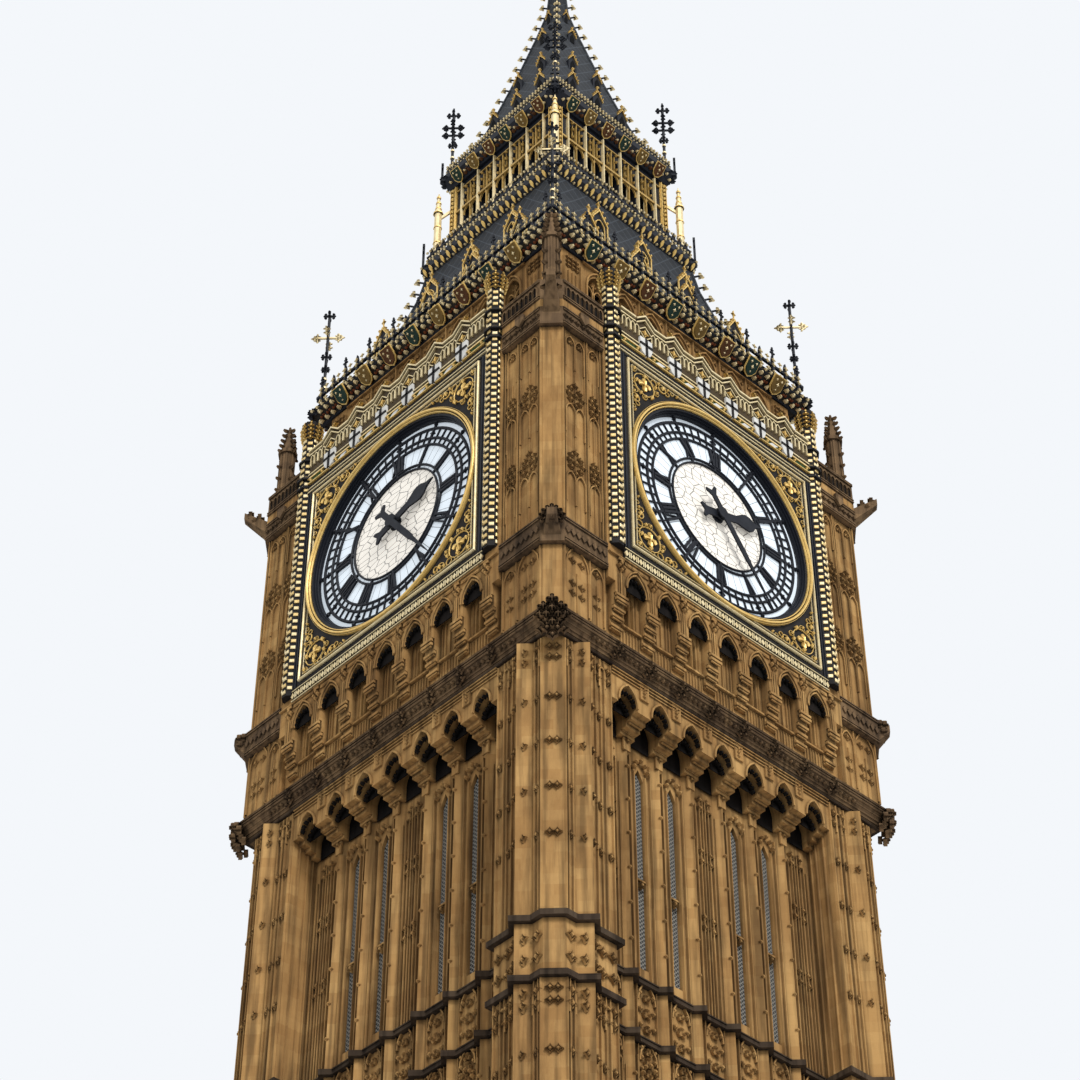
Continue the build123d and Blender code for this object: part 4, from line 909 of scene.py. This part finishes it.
for spots, (n, z, scale) in ((EAVES_SPOTS, EAVES_HANG), (LANTERN_LINES, LANTERN_HANG)):
    for s, h, radius in ((-11, 48, 6), (11, 48, 6), (0, 32, 8), (0, 14, 5)):
        on_field = SLOPE @ shift(s * scale, 8.5 * scale, h * scale)
        charges.append(repeat(flower(radius * scale, 3), [move @ on_field for move in row(spots, n, z)]))
gather("shield_charges", pale_gold, charges)

# Roof crestings: wrought rails with upright spikes, and a small pale flower on each spike and between each pair.
# The ironwork is painted near black; its flowers are gilt and cream.
dress(black_iron, "eaves_cresting", "lantern_railing", "spire_cresting")
CRESTINGS = (
    (553, 6440, 29, 37, (28, 62, 84), 10), (317, 7130, 14.5, 43, (22, 62), 6), (280, 7597, 14.5, 37, (12, 34, 46), 5.5),
)
flowers = []
for half, base, pitch, count, heights, size in CRESTINGS:
    spots = [(k - (count - 1) / 2) * pitch for k in range(count)]
    flowers += [repeat(flower(size, 5), row(spots, half, base + z)) for z in heights]
gather("cresting_flowers", pale_gold, flowers)
fleur = [block(-2.5, 2.5, 0, 44, 0, 5), block(-10, 10, 16, 21, 0, 5), block(-6, 6, 30, 34, 0, 5)]
gather("cresting_fleurs", black_iron, fleur, at=row(range(-522, 523, BAY), 549, 6540))

# Corner crosses: tall wrought stems at the eaves' and lantern's corners, with tiers of scrolled arms.
# They are painted near black, with one gilt tier of arms at the eaves and small gilt collars low on each stem.
dress(black_iron, "eaves_crosses", "lantern_crosses")


def corner(half, z=0.0, s=0.0, n=0.0):
    """A place at a corner of the tower, given by its half width, and from there across and outwards."""
    return turned(45) @ shift(s, half * ROOT_TWO + n, z)


CROSS_ARMS = {
    "gilt": ((534, 6791, 44),),
    "dark": (
        (534, 6898, 16), (534, 6700, 14), (534, 6640, 11),
        (262, 7880, 32), (262, 7838, 32), (262, 7950, 20), (262, 7780, 13),
    ),
}
sideways = turned(90) @ shift(0, -4)
for kind, finish in (("gilt", pale_gold), ("dark", black_iron)):
    arms = []
    for half, z, reach in CROSS_ARMS[kind]:
        crossed = [corner(half, z) @ turned(90 * turn) for turn in range(4)]
        arms.append(repeat(block(-3, 3, -3, 3, 0, reach), crossed))
        for out, rise in ((reach, 0), (reach * 0.8, 9), (reach * 0.8, -9)):
            spots = [turn @ shift(0, out - 4, rise) for turn in crossed]
            spots += [turn @ shift(0, out, rise) @ sideways for turn in crossed]
            arms.append(repeat(flower(reach * 0.27, 7), spots))
    if kind == "dark":
        for half, top in ((534, 6890), (262, 7960)):
            arms.append(repeat(block(-3, 3, top, top + 30, -3, 6), [corner(half)]))
    gather(f"{kind}_cross_arms", finish, arms)


def stem_ring(inner, outer, depth, half, z):
    """A ring round an upright stem at a corner."""
    return repeat(hoop(inner, outer, 0, depth, 8), [corner(half, z) @ turned(-90, "X") @ shift(0, 0, -DIAL)])


COLLARS = ((20, 9), (60, 8), (110, 8), (150, 7))
collars = [stem_ring(5, size, 8, half, base + z) for half, base in ((534, 6440), (262, 7597)) for z, size in COLLARS]
gather("cross_collars", pale_gold, collars)


# Roof plates: cast-iron tiles laid in lozenges on both roofs, painted blue-grey, with a raised seam at each edge.
# The raised seams are a lighter grey than the tiles, and rain leaves the slopes a little streaked.
TILE_HALF, SEAM_HALF = 24, 2.4
roof_plate, tree, shader, place = start_finish("cast_iron_roof_tiles", {"Roughness": 0.6, "Specular IOR Level": 0.15})
parts = add_node(tree, "SeparateXYZ", {0: place})
east = add_node(tree, "Math", {0: parts.outputs[0]}, operation="ABSOLUTE")
north = add_node(tree, "Math", {0: parts.outputs[1]}, operation="ABSOLUTE")
beside = add_node(tree, "Math", {0: east, 1: north}, operation="MINIMUM")
seams = []
for lean in (-1.0, 1.0):
    aside = add_node(tree, "Math", {0: beside, 1: lean}, operation="MULTIPLY")
    climb = add_node(tree, "Math", {0: parts.outputs[2], 1: 0.75, 2: aside}, operation="MULTIPLY_ADD")
    wave = add_node(tree, "Math", {0: climb, 1: TILE_HALF * MM}, operation="PINGPONG")
    seams.append(add_node(tree, "Math", {0: wave, 1: SEAM_HALF * MM}, operation="LESS_THAN"))
seam = add_node(tree, "Math", {0: seams[0], 1: seams[1]}, operation="MAXIMUM")
weather = add_node(tree, "TexNoise", {"Vector": place, "Scale": 24.0, "Detail": 6.0})
slate = add_node(tree, "Mix", {0: weather, 6: linear("#14171b"), 7: linear("#2b2f34")}, data_type="RGBA")
seamed = add_node(tree, "Mix", {0: seam, 6: slate.outputs[2], 7: linear("#3d4248")}, data_type="RGBA")
tree.links.new(seamed.outputs[2], shader.inputs["Base Color"])
relief = add_node(tree, "Bump", {"Height": seam, "Strength": 0.7, "Distance": 2 * MM})
tree.links.new(relief.outputs[0], shader.inputs["Normal"])
dress(roof_plate, "lower_roof", "spire")
dress(black_iron, "roof_lucarnes", "spire_lucarnes", "lantern_gallery", "lantern_cornice", "lantern_arcades")

# Hips and crockets: a roll up each hip of both roofs, with leaf hooks that curl outwards from it.
# The hooks are cast iron with dark stalks, and each ends in a cluster of pale gilt leaves.
LOWER_HIP = ((6440, 524), (6590, 458), (6720, 402), (6850, 358), (6970, 328), (7070, 313))
SPIRE_HIP = ((7597, 254), (7855, 176), (7970, 148), (8180, 99), (8400, 53), (8540, 27), (8860, 10))


def along_hip(levels, gap, start):
    """Places (half width, height) up a hip, an even gap apart."""
    spots = []
    for (low, low_half), (high, high_half) in zip(levels, levels[1:]):
        while start < high:
            spots.append((low_half + (high_half - low_half) * (start - low) / (high - low), start))
            start += gap
    return spots


stalks, hook_leaves, ridges = [], [], []
for levels, gap, start, scale in ((LOWER_HIP, 58, 6470, 1.1), (SPIRE_HIP, 62, 7650, 1.0)):
    spots = along_hip(levels, gap, start)
    curl = plate([(s * scale, z * scale) for s, z in ((0, -2), (20, 4), (22, 9), (0, 3))], -2.5, 5)
    stalks.append(repeat(curl, [corner(half, z) @ turned(-90) for half, z in spots]))
    for s, n, rise in ((0, 20, 6), (0, 16, 15), (0, 24, -2), (8, 15, 5), (-8, 15, 5)):
        moves = [corner(half, z + rise * scale, s * scale, n * scale) for half, z in spots]
        hook_leaves.append(repeat(flower(5.5 * scale, 7 * scale), moves))
    for (low, low_half), (high, high_half) in zip(levels, levels[1:]):
        inwards, rise = (low_half - high_half) * ROOT_TWO, high - low
        along = corner(low_half, low, n=-2) @ Matrix.Rotation(-math.atan2(inwards, rise), 4, "X")
        ridges.append(repeat(roll(0, 0, 0, math.hypot(inwards, rise), 9, 6), [along]))
gather("spire_crockets", black_iron, stalks)
gather("hip_rolls", roof_plate, ridges)
gather("hip_leaves", pale_gold, hook_leaves)

# Roof lights: gabled lucarnes in rows, each with gilt edges, leaf hooks up the gable, and a tall leaf on its point.
# The opening in each is a near-black pointed plate, painted shade of the opening; on the lower roof it has a gilt
# moulding and gilt sides.
LUCARNES = (
    (LOWER_HIP, 6550, 4, 215, 70, 160), (LOWER_HIP, 6755, 3, 195, 70, 150),
    (SPIRE_HIP, 7772, 3, 119, 44, 110), (SPIRE_HIP, 8002, 2, 120, 40, 95),
    (SPIRE_HIP, 8285, 1, 0, 36, 80), (SPIRE_HIP, 8438, 1, 0, 26, 70),
)
gables, mouths = [], []
for levels, base, count, gap, width, rise in LUCARNES:
    low, low_half, high, high_half = next((*a, *b) for a, b in zip(levels, levels[1:]) if a[0] <= base <= b[0])
    n = low_half + (high_half - low_half) * (base - low) / (high - low) - 1
    spots = row([(k - (count - 1) / 2) * gap for k in range(count)])
    half, spring, point, trim = width / 2, base + rise * 0.6, base + rise, width * 0.055
    mouth_half, mouth_spring = half * 0.55, base + rise * 0.45
    gable = []
    for side in (-1, 1):
        eave = side * (half + 2)
        edge = [(eave, spring - trim), (eave, spring + trim), (0, point + trim * 1.6), (0, point - trim)]
        gable.append(plate(edge, n, 5))
        if levels is LOWER_HIP:
            gable.append(block(side * half - trim / 2, side * half + trim / 2, base + 4, spring + 4, n, 4))
        for share in (0.2, 0.5, 0.8):
            hook = shift(side * (half * (1 - share) + trim), n - 3, spring + (point - spring) * share + trim * 2)
            gable.append(repeat(flower(width * 0.11, 9), [hook]))
    gable.append(block(-trim / 3, trim / 3, point, base + rise * 1.3, n - 4, 5))
    gable.append(repeat(flower(width * 0.14, 8), [shift(0, n - 4, base + rise * 1.2)]))
    if levels is LOWER_HIP:
        gable.append(repeat(arch(mouth_half, base + 8, mouth_spring, trim * 0.7, 5, 3), [shift(0, n)]))
    gables += each(gable, spots)
    mouth = [(-mouth_half, base + 8), (mouth_half, base + 8), (mouth_half, mouth_spring)]
    mouth += [(0, base + rise * 0.72), (-mouth_half, mouth_spring)]
    mouths.append(repeat(plate(mouth, n, 1.5), spots))
gather("lucarne_gables", gold_leaf, gables)
# The mouths are near-black plates: painted shade of the openings.
gather("lucarne_mouths", shade_black, mouths)


# Lantern columns and tracery: slim cream shafts between the openings, with gilt tracery above a transom.
# They are cast iron, painted cream and gilt; the openings below the transom are left open.
LANTERN_BAYS = [LANTERN_BAY * k for k in range(-2, 3)]
shafts = [repeat(roll(0, 256, 7132, 7522, 8, 10), row(LANTERN_LINES))]
shafts.append(repeat(roll(0, 248, 7200, 7389, 6, 6), row(LANTERN_BAYS)))
gather("lantern_columns", pale_gold, shafts)
tracery = [roll(0, 252, 7200, 7500, 5, 9)] + [roll(s, 252, 7389, 7480, 4, 7) for s in (-16, 16)]
tracery += [repeat(flower(6, 7), row((-20, 20), 258, z)) for z in (7412, 7452, 7486)]
tracery.append(repeat(arch(15, 7350, 7360, 4, 6, 3), row((-17, 17), 252)))
tracery.append(repeat(trefoil(8, 5), row((-20, 20), 254, 7402)))
each(tracery, row(LANTERN_BAYS))
transoms = [block(-231, 231, 7384, 7393, 256, 7), block(-231, 231, 7496, 7500, 256, 6)]
aged_gold = gilded("aged_gold_leaf", "#d9b566", "#8a682f", 0.5)
gather("lantern_tracery", aged_gold, transoms + tracery)
# Near-black plates behind the tracery paint the shade inside the lantern.
gather("lantern_spandrel_backs", shade_black, [block(-33, 33, 7394, 7489, 240, 2)], at=row(LANTERN_BAYS))

# Lantern corner posts: square iron posts sheathed in gilt leaves and rolls, with a shaft of cream at each edge.
# A pinnacle stands outside each post and a black brace ties the two.
dress(gold_leaf, "lantern_posts")
dress(pale_gold, "lantern_pinnacles")
post_work = [roll(s, 261, 7132, 7525, 5, 6) for s in (235, 257)]
post_work.append(repeat(flower(9, 7), [shift(246, 261, z) for z in range(7160, 7520, 22)]))
gather("lantern_post_leaves", gold_leaf, post_work, at=BOTH)
RING_SIZES = ((7160, 15), (7250, 15), (7330, 15), (7405, 18), (7430, 12), (7460, 10), (7490, 8))
rings = [stem_ring(6, size, 7, 291, z) for z, size in RING_SIZES]
gather("lantern_pinnacle_rings", gold_leaf, rings)

# Lantern cornices: the gallery and the cornice are dark iron, hung with long gilt leaves and small gilt balls.
# Small russet leaves stand between the shields, and a small dark cross stands at each corner.
DROP = [(0, 0), (5, 14), (4, 24), (0, 30), (-4, 24), (-5, 14)]
drops = hung(DROP, 6, 313, 7076, 1.0, [29 * (k - 10.5) for k in range(22)])
gather("lantern_drops", gold_leaf, [drops])
GALLERY_BEADS = range(-319, 320, 29)
leaves = [repeat(flower(6, 6), row(GALLERY_BEADS, 312, 7080) + row(GALLERY_BEADS, 327, 7118))]
zigzag = row(range(-243, 262, 36), 277, 7546) + row(range(-225, 244, 36), 283, 7558)
leaves.append(repeat(flower(6, 7), zigzag))
gather("lantern_leaves", pale_gold, leaves)
russet_spots = row(LANTERN_BAYS, 272, 7540, (-10, 10)) + row(LANTERN_BAYS, 272, 7554)
gather("lantern_red_leaves", shield_paints["russet"], [repeat(flower(8, 8), russet_spots)])
small_crosses = []
for half, foot, top in ((322, 7130, 7250), (285, 7597, 7680)):
    parts = [block(-4, 4, foot, top, -4, 8)]
    for share, arm in ((0.6, 15), (0.85, 10)):
        z = foot + (top - foot) * share
        parts.append(block(-arm, arm, z - 3, z + 3, -3, 6))
    small_crosses += each(parts, [corner(half)])
gather("gallery_corner_crosses", black_iron, small_crosses)

# Corner clumps: a cluster of leaves at each corner of the cornices, carved in stone on the main one.
# On the eaves and the lantern they are cast iron, painted black like the ironwork about them.
CLUMP = [(0, -4, 4), (0, 20, 6), (0, -34, -6)]
for s, rise, n in ((18, 8, -6), (12, -18, 0), (26, -8, -16)):
    CLUMP += [(-s, rise, n), (s, rise, n)]
for name, finish, spots in (
    ("cornice_corner_leaves", sooted_limestone, ((640, 4770, 1.25), (630, 4735, 1.1))),
    ("corner_leaf_clumps", black_iron, ((560, 6425, 0.9), (322, 7112, 0.8), (286, 7580, 0.8))),
):
    clump = []
    for half, z, scale in spots:
        moves = [corner(half, z + rise * scale, s * scale, n - 10) for s, rise, n in CLUMP]
        clump.append(repeat(flower(13 * scale, 16 * scale), moves))
    gather(name, finish, clump)

# Finial: a gilt stem with an orb, a bulb and two crowns of arms, and leaves round the orb.
# It is hammered copper over an iron core.
dress(gold_leaf, "finial")
for name, finish, z, size, n in (
    ("finial_buds", pale_gold, 8989.5, 12, 30),
    ("finial_arm_buds", gold_leaf, 9141.2, 9, 66),
    ("finial_top_buds", gold_leaf, 9452, 8, 40),
):
    gather(name, finish, [repeat(flower(size, 8), [shift(0, n, z)])])

# Gargoyles and pinnacles: stone beasts and crocketed posts at the corners, cut from the cornice's dark limestone.
# The beasts' heads are masses of leaf and curl; the posts carry leaf hooks on all four faces.
dress(sooted_limestone, "gargoyles")
HOOKS = ((6080, 22), (6130, 22), (6180, 22), (6250, 24), (6275, 20), (6300, 16), (6325, 12), (6350, 9))
PINNACLE = (602, 602)
hooks = [shift(*PINNACLE, z) @ turned(90 * turn) @ shift(0, reach) for z, reach in HOOKS for turn in range(4)]
edges = repeat(block(-3, 3, 6040, 6240, 22, 3), [shift(*PINNACLE) @ turned(45 * turn) for turn in range(8)])
gather("pinnacle_leaves", sooted_limestone, [repeat(flower(8, 12), hooks), edges])
CURLS = [(0, 0.92, -8), (0, 0.4, 26), (0, 0.85, 20), (0, 0.2, 18)]
for s, share, rise in ((16, 0.5, 20), (10, 0.9, 12), (12, 0.7, -6)):
    CURLS += [(-s, share, rise), (s, share, rise)]
NECK = 875
heads = []
for z, length, scale in ((5059, 36, 1.15), (5920, 75, 1.0)):
    for s, share, rise in CURLS:
        out = length * share
        curl = turned(45) @ shift(s * scale, NECK + out, z + out * 0.8 + rise * scale)
        heads.append(repeat(flower(15 * scale, 16 * scale), [curl]))
gather("gargoyle_heads", sooted_limestone, heads)


# Door: a planked oak leaf with iron straps and a ring handle, closed in the doorway of the back.
# The planks are tongued, dark with oil, and the straps are wrought.
DOOR = 524
BACK = [turned(180)]
oak, tree, shader, place = start_finish("weathered_oak", {"Roughness": 0.7})
stretched = add_node(tree, "Mapping", {0: place, 3: (90, 90, 7)})
figure = add_node(tree, "TexNoise", {"Vector": stretched, "Scale": 1.0, "Detail": 6.0})
wood = add_node(tree, "Mix", {0: figure, 6: linear("#2b190e"), 7: linear("#5a3b22")}, data_type="RGBA")
tree.links.new(wood.outputs[2], shader.inputs["Base Color"])
dress(oak, "door")
straps = [block(-56, 40, z, z + 8, DOOR, 3) for z in (50, 110, 165)]
straps.append(repeat(hoop(7, 10, 0, 4, 20), [shift(38, DOOR + 1, 96 - DIAL)]))
gather("door_ironwork", black_iron, straps, turns=BACK)
planks = [block(14.5 * k - 58, 14.5 * k - 46, 2, 238 - abs(k - 3.5) * 24, DOOR, 1.5) for k in range(8)]
gather("door_planks", oak, planks, turns=BACK)

# Base course: a moulded doorway, rolled mouldings and a row of blind quatrefoils round the plinth, in limestone.
# The photograph stops above it, so it follows the panelled courses higher up.
PLINTH, PLINTH_FOOT = 638, 634
NOT_BACK = [QUARTERS[0], QUARTERS[1], QUARTERS[3]]
door_arch = [arch(66, 4, 150, 9, 8, 6), arch(84, 4, 150, 7, 6, 6)]
gather("doorway_mouldings", limestone, door_arch, at=[shift(0, PLINTH)], turns=BACK)
ALL_ROUND, BESIDE_DOOR = [BAY * k for k in range(-4, 5)], [BAY * k for k in (-4, -3, -2, 2, 3, 4)]
for name, places, turns in (("plinth_quatrefoils", ALL_ROUND, NOT_BACK), ("back_quatrefoils", BESIDE_DOOR, BACK)):
    gather(name, limestone, [trefoil(26, 8), flower(11, 10)], at=row(places, PLINTH, 170), turns=turns)
corner_ring(((628, 252), (638, 252), (642, 257), (638, 262), (624, 262)), "plinth_roll", limestone)
foot_roll = [block(-640, 640, 98, 108, PLINTH_FOOT, 9)]
gather("plinth_foot_rolls", limestone, foot_roll, turns=NOT_BACK)
back_rolls = [block(left, left + 562, 98, 108, PLINTH_FOOT, 9) for left in (-640, 78)]
gather("back_foot_rolls", limestone, back_rolls, turns=BACK)
